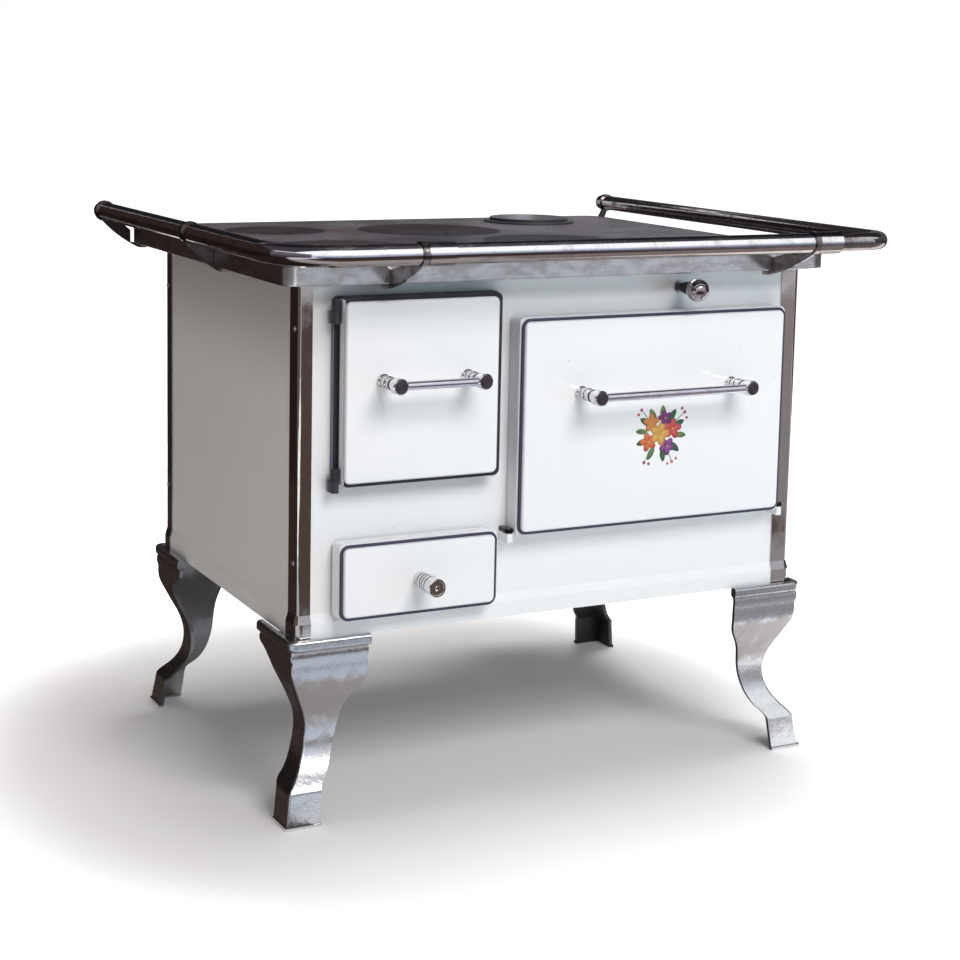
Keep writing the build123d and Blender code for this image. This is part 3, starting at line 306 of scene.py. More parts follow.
def soft_box(name, place, aim, size, power, tint=white, mirrored=True):
    lamp_data = bpy.data.lights.new(name, "AREA")
    lamp_data.shape = "RECTANGLE"
    lamp_data.size, lamp_data.size_y = size
    lamp_data.energy = power
    lamp_data.color = tint
    lamp = placed(name, lamp_data)
    lamp.location = place
    lamp.rotation_euler = (Vector(aim) - Vector(place)).to_track_quat("-Z", "Y").to_euler()
    lamp.visible_glossy = mirrored


def cloth(name, corners, tone):
    """A cloth that only reflections see; tone is how bright it shows there."""
    dyed = Finish(name + "_cloth", Base_Color=black, Roughness=1.0, Specular_IOR_Level=0.0,
                  Emission_Color=tone, Emission_Strength=1.0)
    sheet = flat_sheet(name, corners, dyed)
    sheet.visible_camera = False
    sheet.visible_diffuse = False
    sheet.visible_shadow = False
    sheet.visible_transmission = False


soft_box("front_box", place=(0.1, -3.0, 2.8), aim=(0.0, 0.0, 0.4), size=(1.9, 1.4), power=92.0,
         tint=(0.95, 0.92, 0.93))
soft_box("blue_fill", place=(1.7, -2.6, 0.7), aim=(0.0, -0.3, 0.5), size=(1.5, 1.2), power=10.0,
         tint=(0.30, 0.75, 1.0), mirrored=False)
soft_box("top_box", place=(0.45, 0.25, 3.0), aim=(0.0, 0.0, 0.2), size=(1.7, 1.7), power=92.0)

# A hanging cloth: the floor points under its two ends, its lower and upper edge, its tone
for name, (ax, ay), (bx, by), low, high, tone in (
        ("cloth_left", (-3.0, 0.6), (-0.62, 2.1), 0.0, 2.2, (0.026, 0.017, 0.015)),
        ("cloth_back", (-0.62, 2.4), (1.1, 2.2), 0.0, 2.2, (0.03, 0.026, 0.028)),
        ("cloth_back_right", (1.1, 2.2), (3.4, 1.4), 0.0, 2.2, (0.16, 0.155, 0.17)),
        ("cloth_front_low", (-2.4, -3.0), (1.6, -3.0), 0.0, 0.36, (0.12, 0.088, 0.072)),
        ("cloth_front_low_right", (1.6, -3.0), (3.2, -3.0), 0.0, 0.36, (0.38, 0.34, 0.34)),
        ("cloth_front", (-2.4, -3.0), (3.2, -3.0), 0.36, 1.25, (0.66, 0.68, 0.74)),
        ("cloth_right", (3.4, -3.0), (3.4, 1.4), 0.0, 2.4, (0.12, 0.105, 0.11)),
        ("cloth_left_front", (-3.0, -3.0), (-3.0, 0.6), 0.0, 2.2, (0.15, 0.13, 0.13))):
    cloth(name, [(ax, ay, low), (bx, by, low), (bx, by, high), (ax, ay, high)], tone)

# A mat or a ceiling: its left, right, near and far edge, its height, its tone
mat_z = 0.004
for name, left, right, near, far, z, tone in (
        ("cloth_ceiling", -3.0, 3.4, -1.1, 2.4, 2.4, (0.05, 0.045, 0.055)),
        ("mat_left", -3.0, -0.38, -0.6, 2.1, mat_z, (0.045, 0.032, 0.027)),
        ("mat_back", -0.38, 3.4, 0.5, 2.4, mat_z, (0.05, 0.045, 0.05)),
        ("mat_front", -1.7, 0.3, -1.10, -0.43, mat_z, (0.72, 0.77, 0.84)),
        ("mat_front_far", -1.7, 0.3, -2.99, -1.10, mat_z, (0.12, 0.088, 0.072)),
        ("mat_middle_far", 0.3, 1.3, -2.99, -1.35, mat_z, (0.12, 0.088, 0.072)),
        ("mat_right", 0.3, 3.2, -1.35, -0.48, mat_z, (0.44, 0.42, 0.44)),
        ("mat_right_far", 1.3, 3.2, -2.99, -1.35, mat_z, (0.38, 0.35, 0.36))):
    cloth(name, level_corners(left, right, near, far, z), tone)

# --- Base frame, bottom pan and bolts ---------------------------------------------------
# A flanged frame of zinc-plated sheet carries the body; the bottom pan lies in it and the
# legs are bolted up through its flange. The same bolts fasten the rail's brackets.
zinc_light = (0.62, 0.64, 0.67)
zinc_dark = (0.40, 0.42, 0.45)
spangle = 0.016


def zinc_figure(finish):
    """The flowers that zinc sets in, each its own tone, and the bloom over them."""
    return finish.cells(spangle, tone=True), finish.noise(0.05, detail=4)


zinc = Finish("plated_sheet", Metallic=1.0)
flower, bloom = zinc_figure(zinc)
zinc.set(Base_Color=zinc.blend(flower * 0.7 + bloom * 0.3, zinc_dark, zinc_light),
         Roughness=flower * 0.18 + bloom * 0.15 + 0.22)
zinc.bump(flower * 0.5 + zinc.noise(0.002) * 0.5, 0.00006)
coat(zinc, "base_frame", "bottom_pan")

bolt_dull, bolt_rubbed = (0.30, 0.29, 0.27), (0.66, 0.65, 0.62)
bolt_zinc = Finish("bolt_zinc", Metallic=1.0)
rub = bolt_zinc.noise(0.003, detail=3)
bolt_zinc.set(Base_Color=bolt_zinc.ramp(rub, (0.3, bolt_dull), (0.62, bolt_rubbed)),
              Roughness=rub * 0.3 + 0.18)
bolt_zinc.bump(bolt_zinc.noise(0.0012, detail=1), 0.00005)
coat(bolt_zinc, "hex_bolts")

# --- Legs -------------------------------------------------------------------------------
# Four cabriole legs, each one angle-shaped casting, linished and bright plated. The
# casting's skin stays slightly uneven, and the knee is mottled with stain. Painted shade
# darkens the lip's fold, the toe, the inside of the angle and the left ankles; painted
# reflection lightens the ankle and browns a band round the knee.
leg_bright = (0.60, 0.62, 0.655)
leg_dull = (0.50, 0.52, 0.555)
leg_ankle_reflection = (0.80, 0.83, 0.87)     # the ankle painted lighter, a painted reflection
leg_stain_and_shade = (0.30, 0.24, 0.21)     # knee stain and painted reflection; painted shade in the fold and at the toe
leg_glare_shade = (0.20, 0.205, 0.215)    # painted shade that dims the lamp's reflection on the left ankles
leg_inner_shade = (0.035, 0.030, 0.029)   # painted shade inside the angle
knee_band = (0.118, 0.150, 0.188, 0.214)
glare_shade_band = (0.043, 0.047, 0.064, 0.100)
ankle_top = (0.130, 0.095)
lip_fold_z = 0.243                 # underside of the lip
toe_rim_z = 0.004
inner_side = -0.15                 # faces that look this much towards the stove's middle

casting = Finish("plated_casting", Metallic=1.0)
x, y, z = casting.axes()
skin = casting.noise(0.022, detail=4, roughness=0.62)
pits = casting.noise(0.0035, detail=3)
linish = casting.noise(0.0016, detail=2, stretch=(1, 1, 0.06))
smoke = casting.noise(0.030, detail=5, roughness=0.62)
# the knee's brown: stain mottling, and a band of painted reflection at knee height
knee_stain_and_reflection = (smoke + z.within(*knee_band) * 0.34).rise(0.52, 0.80)
# painted shade in the fold under the lip and at the toe's rim on the floor
lip_fold_shade = abs(z - lip_fold_z).rise(0.004, 0.0006)
toe_shade = abs(z - toe_rim_z).rise(0.0022, 0.0004)
east, north, up = casting.facing()
inside = (east * x + north * y) < inner_side
inner_shade = inside * ((x > 0.0) * 0.50 + 0.42)     # painted shade, deepest on the right legs
metal = casting.blend(pits, leg_dull, leg_bright)
# painted reflection: the ankle lighter than the rest of the leg
metal = casting.blend(z.rise(*ankle_top) * 0.8, metal, leg_ankle_reflection)
metal = casting.blend((knee_stain_and_reflection * 0.55 + lip_fold_shade * 0.5 + toe_shade * 0.5).least(1.0), metal, leg_stain_and_shade)
# painted shade: the left ankles darker, to dim the lamp's reflection
metal = casting.blend(z.within(*glare_shade_band) * (x < 0.0) * 0.70, metal, leg_glare_shade)
casting.set(Base_Color=casting.blend(inner_shade, metal, leg_inner_shade),
            Roughness=(skin * 0.16 + linish * 0.12 + knee_stain_and_reflection * 0.16 + lip_fold_shade * 0.3
                       + inside * 0.2 + 0.10))
casting.bump(skin * 0.75 + pits * 0.17 + linish * 0.08, 0.0011, 0.8)
coat(casting, "leg_front_left", "leg_front_right", "leg_rear_left", "leg_rear_right")

# --- Enamelled body ---------------------------------------------------------------------
# Front, side and rear sheets of steel with a fired white glaze. It is glossy and slightly
# rippled, has a rare pinhole, and greys on every outer edge, where the ground coat shows
# and painted shade stands for the gap round each panel. The side and rear sheets are
# painted darker towards the top, as shade under the band.
glaze_low = (0.830, 0.862, 0.882)
glaze_high = (0.872, 0.890, 0.902)
glaze_edge_dark = (0.42, 0.45, 0.53)
glaze_cream = (0.80, 0.77, 0.70)
glaze_top_shade = (0.30, 0.26, 0.24)
pinhole_dark = (0.16, 0.15, 0.17)
warm_rise = (0.55, 0.74)       # heights between which heat tints the glaze
top_shade_rise = (0.56, 0.745)     # and painted shade under the band greys the sides


def glaze(name, across=None, edge=0.0035, thin=0.6, warm=0.0, top_shade=0.0):
    """White enamel; across names the piece and the two axes along which its edges grey: ground
    coat, and painted shade of the gap.
    """
    enamel = Finish(name)
    place = dict(zip("xyz", enamel.axes()))
    cloud = enamel.noise(0.22, detail=3)
    ripple = enamel.noise(0.030, detail=2)
    peel = enamel.noise(0.0030, detail=1)
    pinhole = enamel.cells(0.034) < 0.022
    colour = enamel.blend(cloud, glaze_low, glaze_high)
    rub = 0.0
    if across:
        piece, ways = across
        low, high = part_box(piece)
        from_edge = None
        for way in ways:
            index = "xyz".index(way)
            near = (place[way] - low[index]).least(high[index] - place[way])
            from_edge = near if from_edge is None else from_edge.least(near)
        # near an outer edge: the ground coat showing, and painted shade for the gap beside it
        rub = from_edge.rise(edge, edge * 0.15) * (enamel.noise(0.05) * 0.7 + 0.5)
        colour = enamel.blend((rub * thin).least(1.0), colour, glaze_edge_dark)
    if warm:
        colour = enamel.blend((place["z"].rise(*warm_rise) * cloud * warm).least(1.0), colour,
                              glaze_cream)
    # painted shade: darker towards the top, under the band
    if top_shade:
        colour = enamel.blend(place["z"].rise(*top_shade_rise) * top_shade, colour, glaze_top_shade)
    colour = enamel.blend(pinhole * 0.8, colour, pinhole_dark)
    enamel.set(Base_Color=colour, Roughness=cloud * 0.06 + pinhole * 0.3 + rub * 0.12 + 0.07)
    enamel.bump(ripple * 0.86 + peel * 0.06 - pinhole * 0.3, 0.00055, 0.7)
    return enamel


coat(glaze("body_enamel", warm=0.25), "front_panel")
coat(glaze("side_enamel", warm=0.12, top_shade=0.62), "left_panel", "right_panel", "rear_panel")

pin_iron = (0.035, 0.030, 0.032)
pin_from_z = 0.3795            # above it the oven door's lugs are bare, round their pins
lug_enamel = glaze("lug_enamel")
bare = lug_enamel.axes()[2] > pin_from_z
lug_enamel.repaint(bare, pin_iron, Metallic=bare * 0.8)
coat(lug_enamel, "oven_hinge_lugs")

# --- Corner posts and their screws ------------------------------------------------------
# Angles of chromed sheet over the four corners, sprung over the flared foot of the body
# and held by two raised-head screws on each side face. The bright sheet is a little wavy.
chrome_clear = (0.62, 0.60, 0.595)
chrome_hazy = (0.50, 0.475, 0.465)


def handled(finish):
    """Where hands have hazed bright metal, and how it was wiped."""
    haze = finish.noise(0.028, detail=5, roughness=0.62).rise(0.46, 0.72)
    wipe = finish.noise(0.0022, detail=2, stretch=(0.15, 0.15, 1))
    return haze, wipe


def chrome(name, wave, depth, clear=chrome_clear, hazy=chrome_hazy, rough=0.045):
    """Plated metal with waves about wave metres long and depth metres deep."""
    bright = Finish(name, Metallic=1.0)
    haze, wipe = handled(bright)
    bright.set(Base_Color=bright.blend(haze, clear, hazy),
               Roughness=haze * 0.10 + wipe * 0.05 + rough)
    bright.bump(bright.noise(wave, detail=1) * 0.985 + wipe * 0.015, depth, 0.8)
    return bright


post_chrome = chrome("post_chrome", wave=0.06, depth=0.0011, clear=(0.56, 0.525, 0.51))
coat(post_chrome, "post_front_left", "post_front_right", "post_rear_left", "post_rear_right")
# the screw heads' chrome is painted brighter than plating, a painted sheen
coat(chrome("screw_brightened_chrome", wave=0.01, depth=0.0001, clear=(0.97, 0.97, 0.98),
            hazy=(0.88, 0.88, 0.89), rough=0.26), "post_screws")

# --- Hearth, bricks, grate and ash pit --------------------------------------------------
# The fire burns on a cast grate between courses of fire-clay bricks on the hearth's
# flanges. Ash falls through the grate into the pit, a folded black sheet duct.
clay_dark, clay_pale = (0.42, 0.27, 0.16), (0.66, 0.48, 0.31)
clay_soot = (0.05, 0.043, 0.040)
soot_rise = (0.52, 0.70)     # heights between which the bricks blacken

clay = Finish("fire_clay")
x, y, z = clay.axes()
grit = clay.noise(0.006, detail=5, roughness=0.7)
burn = clay.noise(0.07, detail=3)
soot = (z.rise(*soot_rise) * 0.5 + burn.rise(0.45, 0.7) * 0.6).least(1.0)
pit = clay.cells(0.008).rise(0.22, 0.12)
baked = clay.ramp(grit, (0.3, clay_dark), (0.7, clay_pale))
clay.set(Base_Color=clay.blend(soot, baked, clay_soot), Roughness=grit * 0.12 + 0.84)
clay.bump(grit * 0.7 - pit * 0.4, 0.0012)
coat(clay, "fire_bricks")

rust_brown = (0.12, 0.045, 0.020)


def blackened_iron(name, dark=(0.012, 0.012, 0.013), worn=(0.055, 0.052, 0.054), rough=0.42,
                   rust=0.0):
    """Sand-cast iron, stove blacked: pebbled skin, rubbed brighter on its high spots."""
    iron = Finish(name)
    pebble = iron.noise(0.0028, detail=4, roughness=0.6)
    patch = iron.noise(0.04, detail=3)
    colour = iron.blend((pebble * 0.6 + patch * 0.4).rise(0.42, 0.66), dark, worn)
    if rust:
        bloom = iron.noise(0.025, detail=5, roughness=0.7).rise(0.55, 0.75)
        colour = iron.blend(bloom * rust, colour, rust_brown)
    iron.set(Base_Color=colour, Roughness=patch * 0.2 + pebble * 0.15 + rough)
    iron.bump(pebble, 0.00035)
    return iron


coat(blackened_iron("grate_iron", rough=0.6, rust=0.6), "fire_grate")

sheet_black, sheet_scorched = (0.013, 0.013, 0.014), (0.036, 0.034, 0.033)
ash_grey = (0.30, 0.29, 0.28)


def black_sheet(name, ash):
    """Folded sheet with heat-proof black; ash greys the faces that look up."""
    folded = Finish(name)
    east, north, up = folded.facing()
    dust = folded.noise(0.02, detail=4) * up.rise(0.3, 0.9) * ash
    fleck = folded.noise(0.0015, detail=1)
    scorch = folded.noise(0.09, detail=3)
    painted = folded.blend(scorch, sheet_black, sheet_scorched)
    folded.set(Base_Color=folded.blend(dust.least(1.0), painted, ash_grey),
               Roughness=scorch * 0.2 + fleck * 0.1 + 0.42)
    folded.bump(fleck * 0.5 + folded.noise(0.03) * 0.5, 0.0003)
    return folded


coat(black_sheet("ash_pit_black", 0.9), "ash_pit_housing")
coat(black_sheet("oven_stand_black", 0.2), "oven_stand")

# --- Oven box and rack ------------------------------------------------------------------
# The oven is a welded box in speckled dark-grey enamel, with pressed runners. Its rack is
# a plated rod grid that slides on them; the door's liner has the same enamel.
speck_size = 0.0032
speck_white = (0.42, 0.43, 0.46)
oven_dark, oven_pale = (0.028, 0.031, 0.038), (0.045, 0.049, 0.058)
rack_bright, rack_heated = (0.60, 0.60, 0.61), (0.42, 0.36, 0.28)

oven_grey = Finish("speckled_enamel")
fleck = oven_grey.cells(speck_size).rise(0.26, 0.16)
fine = oven_grey.cells(speck_size * 0.45).rise(0.22, 0.12)
tone = oven_grey.noise(0.12, detail=3)
ground_coat = oven_grey.blend(tone, oven_dark, oven_pale)
oven_grey.set(Base_Color=oven_grey.blend((fleck * 0.8 + fine * 0.4).least(1.0), ground_coat,
                                         speck_white),
              Roughness=tone * 0.12 + 0.16)
oven_grey.bump(oven_grey.noise(0.004, detail=1), 0.00015)
coat(oven_grey, "oven_box", "oven_door_liner")

rack_rods = Finish("rack_plating", Metallic=1.0)
draw = rack_rods.noise(0.001, detail=2, stretch=(1, 0.08, 1))
heat = rack_rods.noise(0.06, detail=3)
rack_rods.set(Base_Color=rack_rods.ramp(heat, (0.35, rack_bright), (0.7, rack_heated)),
              Roughness=draw * 0.15 + 0.16)
rack_rods.bump(draw, 0.00004)
coat(rack_rods, "oven_rack")

# --- Smoke box and damper ---------------------------------------------------------------
# Smoke leaves the firebox over the oven, or under it when the damper is shut, and rises in
# the folded box on the back. The damper is a plated plate on a rod in a folded guide.
damper_bright, damper_soot = (0.52, 0.52, 0.53), (0.10, 0.09, 0.085)

coat(black_sheet("smoke_box_black", 0.3), "smoke_box")
coat(zinc, "damper_guide")
damper_plate = Finish("damper_plating", Metallic=1.0)
soot = damper_plate.noise(0.05, detail=4).rise(0.4, 0.7)
damper_plate.set(Base_Color=damper_plate.blend(soot, damper_bright, damper_soot),
                 Roughness=soot * 0.4 + 0.22)
damper_plate.bump(damper_plate.noise(0.003, detail=3), 0.0001)
coat(damper_plate, "damper_slide")

# --- Band round the cooking plate -------------------------------------------------------
# A rolled and welded band of satin stainless sheet frames the plate. Its brushing runs
# along each side, and it is slightly stained by heat near the plate.
band_dull, band_bright = (0.52, 0.525, 0.54), (0.78, 0.80, 0.83)
band_heated = (0.35, 0.28, 0.21)
band_top = (0.752, 0.7625)     # heights of its upper edge, where heat stains it

brushed = Finish("brushed_band", Metallic=1.0)
x, y, z = brushed.axes()
brush_lines = brushed.noise(0.0011, detail=3, stretch=(0.02, 0.02, 1))
roll = brushed.noise(0.05, detail=3, stretch=(0.6, 0.6, 1))
cloudy = brushed.noise(0.016, detail=4, roughness=0.6, stretch=(0.5, 0.5, 1)).rise(0.36, 0.64)
heat = z.rise(*band_top) * brushed.noise(0.05, detail=3).rise(0.35, 0.7)
satin = brushed.blend(cloudy * 0.8 + brush_lines * 0.2, band_dull, band_bright)
brushed.set(Base_Color=brushed.blend(heat * 0.5, satin, band_heated),
            Roughness=brush_lines * 0.10 + roll * 0.08 + 0.13)
brushed.bump(brush_lines * 0.03 + roll * 0.97, 0.0009, 0.6)
coat(brushed, "top_frame")

# --- Cooking plate, rings, lids and flue collar -----------------------------------------
# Ground cast iron in two sections, oiled and fired blue-black. Lids and rings are turned
# and show their lathe marks; heat leaves a brown and blue bloom round each hole.
plate_dark = (0.060, 0.058, 0.066)
plate_worn = (0.105, 0.102, 0.112)
lid_dark = (0.012, 0.011, 0.013)
lid_worn = (0.030, 0.027, 0.029)
lathe_pitch = 0.0011
flue_x, flue_y = 0.240, 0.270
# middle and radius of each pot hole, and of the flue collar's seat
holes = [(-0.243, 0.213, 0.078), (-0.247, -0.073, 0.105), (0.0, 0.163, 0.114),
         (0.100, -0.060, 0.105), (flue_x, flue_y, 0.076)]
seasoned = (0.014, 0.014, 0.018)      # oil burnt on where the pans stand most
seasoned_x, seasoned_y = 0.02, -0.10
seasoned_reach = (0.34, 0.10)


def ground_iron(name, turned_at=None):
    """The plate's iron, or with turned_at that of a lid or ring turned about a point."""
    iron = Finish(name, Specular_IOR_Level=0.16 if turned_at else 0.5)
    x, y, z = iron.axes()
    cloud = iron.noise(0.11, detail=4, roughness=0.55)
    grain = iron.noise(0.0022, detail=3)
    smear = iron.noise(0.05, detail=3, stretch=(0.3, 1, 1)).rise(0.5, 0.75)
    if turned_at:
        cx, cy = turned_at
        radius = ((x - cx) ** 2.0 + (y - cy) ** 2.0).root()
        marks = (radius * (2 * pi / lathe_pitch)).sine() * 0.5 + 0.5
        bloom = cloud.rise(0.35, 0.7) * 0.7
        smear = smear + 1.4
    else:
        marks = iron.noise(0.0015, detail=2, stretch=(1, 0.03, 1))
        bloom = None
        for cx, cy, rim in holes:
            away = ((x - cx) ** 2.0 + (y - cy) ** 2.0).root() - rim
            glow = away.rise(0.05, 0.0)
            bloom = glow if bloom is None else bloom.most(glow)
        bloom = bloom * (cloud * 0.8 + 0.3)
    dark, worn = (lid_dark, lid_worn) if turned_at else (plate_dark, plate_worn)
    oiled = ((x - seasoned_x) ** 2.0 + (y - seasoned_y) ** 2.0).root().rise(*seasoned_reach)
    brown, blue = ([part * share for part, share in zip(dark, shares)]
                   for shares in ((1.25, 0.95, 0.80), (0.80, 0.90, 1.15)))
    oxide = iron.ramp(bloom, (0.0, dark), (0.4, brown), (0.75, blue), (1.0, dark))
    oxide = iron.blend(cloud.rise(0.4, 0.7) * 0.6, oxide, worn)
    iron.set(Base_Color=iron.blend(oiled * 0.6, oxide, seasoned),
             Roughness=cloud * 0.16 + grain * 0.10 + smear * 0.12 + 0.14)
    iron.bump(marks * 0.25 + grain * 0.55 + cloud * 0.2, 0.00016, 0.8)
    return iron


coat(ground_iron("plate_iron"), "top_plate_left", "top_plate_right")
for piece in ("rear_left_lid", "front_left_ring", "front_left_lid", "rear_middle_ring",
              "rear_middle_lid", "front_right_lid"):
    low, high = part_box(piece)
    middle = ((low[0] + high[0]) / 2, (low[1] + high[1]) / 2)
    coat(ground_iron(piece + "_iron", middle), piece)

bore_edge = 0.0625
bore_bright = (0.62, 0.64, 0.68)
sand_dark, sand_worn = (0.014, 0.013, 0.014), (0.045, 0.042, 0.044)
collar = Finish("collar_iron")
x, y, z = collar.axes()
bore = ((x - flue_x) ** 2.0 + (y - flue_y) ** 2.0).root() < bore_edge
sand = collar.noise(0.003, detail=3)
collar.set(Base_Color=collar.blend(bore, collar.blend(sand, sand_dark, sand_worn), bore_bright),
           Metallic=bore * 0.9, Roughness=sand * 0.15 + 0.38 - bore * 0.12)
collar.bump(sand, 0.0002)
coat(collar, "flue_collar")

# --- Fire door --------------------------------------------------------------------------
# A blacked cast frame with pin hinges at the left, and on it a hollow cast door that
# carries an enamelled cover with rounded edges.
frame_black, frame_side_sheen = (0.028, 0.027, 0.034), (0.12, 0.125, 0.21)
frame_edge_x = -0.3524         # the frame's left side is painted a lighter blue-grey, a painted sheen
frame_edge_y = -0.2860         # as far forward as this
door_side_x = (-0.3480, -0.3450)
door_side_y = -0.2935          # on the door's left side the glaze runs back to this
wrapped_white = (0.66, 0.66, 0.70)

frame_iron = blackened_iron("frame_iron")
x, y, z = frame_iron.axes()
# painted sheen: the frame's left side lighter, cooler and smoother
left_side_sheen = (x < frame_edge_x) * (y > frame_edge_y)
frame_iron.set(Base_Color=frame_iron.blend(left_side_sheen, frame_black, frame_side_sheen),
               Roughness=frame_iron.noise(0.03) * 0.2 + 0.46 - left_side_sheen * 0.22)
coat(frame_iron, "fire_door_frame")
door_iron = blackened_iron("door_iron", dark=(0.012, 0.011, 0.017), worn=(0.035, 0.032, 0.044))
x, y, z = door_iron.axes()
wrapped = (y < door_side_y) * (x > door_side_x[0]) * (x < door_side_x[1])
door_iron.repaint(wrapped, wrapped_white,
                  Roughness=door_iron.noise(0.03) * 0.2 + 0.44 - wrapped * 0.3)
coat(door_iron, "fire_door_casting")
coat(glaze("fire_door_enamel", ("fire_door_panel", "xz"), warm=0.15), "fire_door_panel")

# --- Oven door --------------------------------------------------------------------------
# An enamelled pan with a raised cover in front, a dark cord between them that paints the
# shade of the gap, and a woven glass tape on the back that seals against the body.
shade_cord_r = 0.0021
shade_cord_off = shade_cord_r * 0.9    # from the cover's outline to the cord's middle
cover_corner = 0.009
pan_front_y = -0.306
pan_back_y = -0.278
gap_shade_dark, gap_shade_pale = (0.012, 0.012, 0.035), (0.06, 0.055, 0.10)
tape_wide, tape_thick, tape_gap = 0.011, 0.0018, 0.00005
tape_inset, tape_corner = 0.006, 0.010     # from the cover's outline, inwards
tape_strand = 0.0018
tape_dark, tape_pale = (0.50, 0.47, 0.42), (0.74, 0.72, 0.68)

ring_tree = bpy.data.node_groups.new("ring_round_a_door", "GeometryNodeTree")
ring = Graph(ring_tree)
for label, kind in (("Width", "Float"), ("Height", "Float"), ("Corner", "Float"),
                    ("Across", "Float"), ("Deep", "Float"), ("Middle", "Vector"),
                    ("Finish", "Material")):
    ring_tree.interface.new_socket(label, in_out="INPUT", socket_type="NodeSocket" + kind)
ring_tree.interface.new_socket("Ring", in_out="OUTPUT", socket_type="NodeSocketGeometry")
given = ring.node("NodeGroupInput").outputs
path = ring.node("GeometryNodeCurvePrimitiveQuadrilateral", Width=given["Width"],
                 Height=given["Height"])
path = ring.node("GeometryNodeFilletCurve", {"mode": "POLY"}, Curve=path.outputs[0], Count=8,
                 Radius=given["Corner"])
profile = ring.node("GeometryNodeCurvePrimitiveCircle", {"mode": "RADIUS"}, Resolution=12,
                    Radius=1.0)
squash = ring.node("ShaderNodeCombineXYZ", X=given["Deep"], Y=given["Across"], Z=1.0)
profile = ring.node("GeometryNodeTransform", Geometry=profile.outputs[0],
                    Scale=squash.outputs[0])
swept = ring.node("GeometryNodeCurveToMesh", Curve=path.outputs[0],
                  Profile_Curve=profile.outputs[0])
stood = ring.node("GeometryNodeTransform", Geometry=swept.outputs[0],
                  Translation=given["Middle"], Rotation=(pi / 2, 0.0, 0.0))
plain = ring.node("GeometryNodeRealizeInstances", Geometry=stood.outputs[0])
painted = ring.node("GeometryNodeSetMaterial", Geometry=plain.outputs[0],
                    Material=given["Finish"])
ring.feed(ring.node("NodeGroupOutput").inputs[0], painted.outputs[0])


def grown(name, tree, **sizes):
    """An object with the plain mesh that a node tree makes with these sizes."""
    seed = placed(name + "_seed", bpy.data.meshes.new(name + "_seed"))
    modifier = seed.modifiers.new("grow", "NODES")
    modifier.node_group = tree
    for item in tree.interface.items_tree:
        if item.in_out == "INPUT":
            modifier[item.identifier] = sizes[item.name]
    bpy.context.view_layer.update()
    ready = seed.evaluated_get(bpy.context.evaluated_depsgraph_get())
    mesh = bpy.data.meshes.new_from_object(ready)
    seed.modifiers.remove(modifier)
    bpy.data.objects.remove(seed)
    mesh.name = name
    for face in mesh.polygons:
        face.use_smooth = True
    return placed(name, mesh)


def door_ring(name, panel, body, finish, y, beyond, across, deep, corner):
    """A ring round a panel's outline, beyond it, as the cord of painted gap shade and as the
    tape; across and deep are half sizes.
    """
    low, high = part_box(panel)
    piece = grown(name, ring_tree, Width=high[0] - low[0] + 2 * beyond,
                  Height=high[2] - low[2] + 2 * beyond, Corner=corner + beyond,
                  Across=across, Deep=deep,
                  Middle=((low[0] + high[0]) / 2, y, (low[2] + high[2]) / 2),
                  Finish=finish.material)
    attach(piece, body)


coat(glaze("oven_pan_enamel", ("oven_door_pan", "xz"), edge=0.003, thin=0.30), "oven_door_pan")
coat(glaze("oven_door_enamel", ("oven_door_panel", "xz")), "oven_door_panel")

# the dark cord round the cover is painted shade for the gap between cover and pan
gap_shade = Finish("painted_gap_shade")
cord_grain = gap_shade.noise(0.0012, detail=3)
dust = gap_shade.noise(0.03, detail=3)
gap_shade.set(Base_Color=gap_shade.blend(cord_grain * 0.5 + dust * 0.5, gap_shade_dark, gap_shade_pale),
         Roughness=cord_grain * 0.2 + 0.5)
gap_shade.bump(cord_grain, 0.0002)
door_ring("oven_door_shade_cord", "oven_door_panel", "oven_door", gap_shade, y=pan_front_y - shade_cord_r,
          beyond=shade_cord_off, across=shade_cord_r, deep=shade_cord_r, corner=cover_corner)

glass_tape = Finish("glass_tape")
x, y, z = glass_tape.axes()
strand = 2 * pi / tape_strand
weave = ((x * strand).sine() * (z * strand).sine()) * 0.5 + 0.5
glass_tape.set(Base_Color=glass_tape.blend(weave, tape_dark, tape_pale),
               Roughness=weave * 0.1 + 0.82)
glass_tape.bump(weave, 0.0004)
door_ring("oven_door_seal", "oven_door_panel", "oven_door", glass_tape,
          y=pan_back_y + tape_thick / 2 + tape_gap, beyond=-tape_inset, across=tape_wide / 2,
          deep=tape_thick / 2, corner=tape_corner)

# --- Printed spray on the oven door -----------------------------------------------------
# A small fired-on transfer of blossoms, berries and leaves in the middle of the cover.
# Each motif is a very thin lens of colour, darker at its rim and lit towards one side.
spray_x, spray_y, spray_z = 0.1418, -0.313, 0.5060
spray_scale = 0.00118          # metres for each mm of the table
lens_lift, lens_rise, layer_step = 0.00001, 0.00002, 0.00004
lens_slope = 0.006             # over twice this a motif turns from its dark to its light
green, moss, lime = (0.020, 0.10, 0.055), (0.05, 0.14, 0.06), (0.17, 0.27, 0.08)
ochre, honey, apricot = (0.46, 0.22, 0.05), (0.66, 0.40, 0.12), (0.62, 0.22, 0.08)
scarlet, rose, plum = (0.40, 0.03, 0.03), (0.58, 0.12, 0.13), (0.06, 0.02, 0.09)
violet, mauve, umber = (0.30, 0.09, 0.32), (0.26, 0.06, 0.22), (0.30, 0.12, 0.03)
glint = (0.85, 0.75, 0.75)
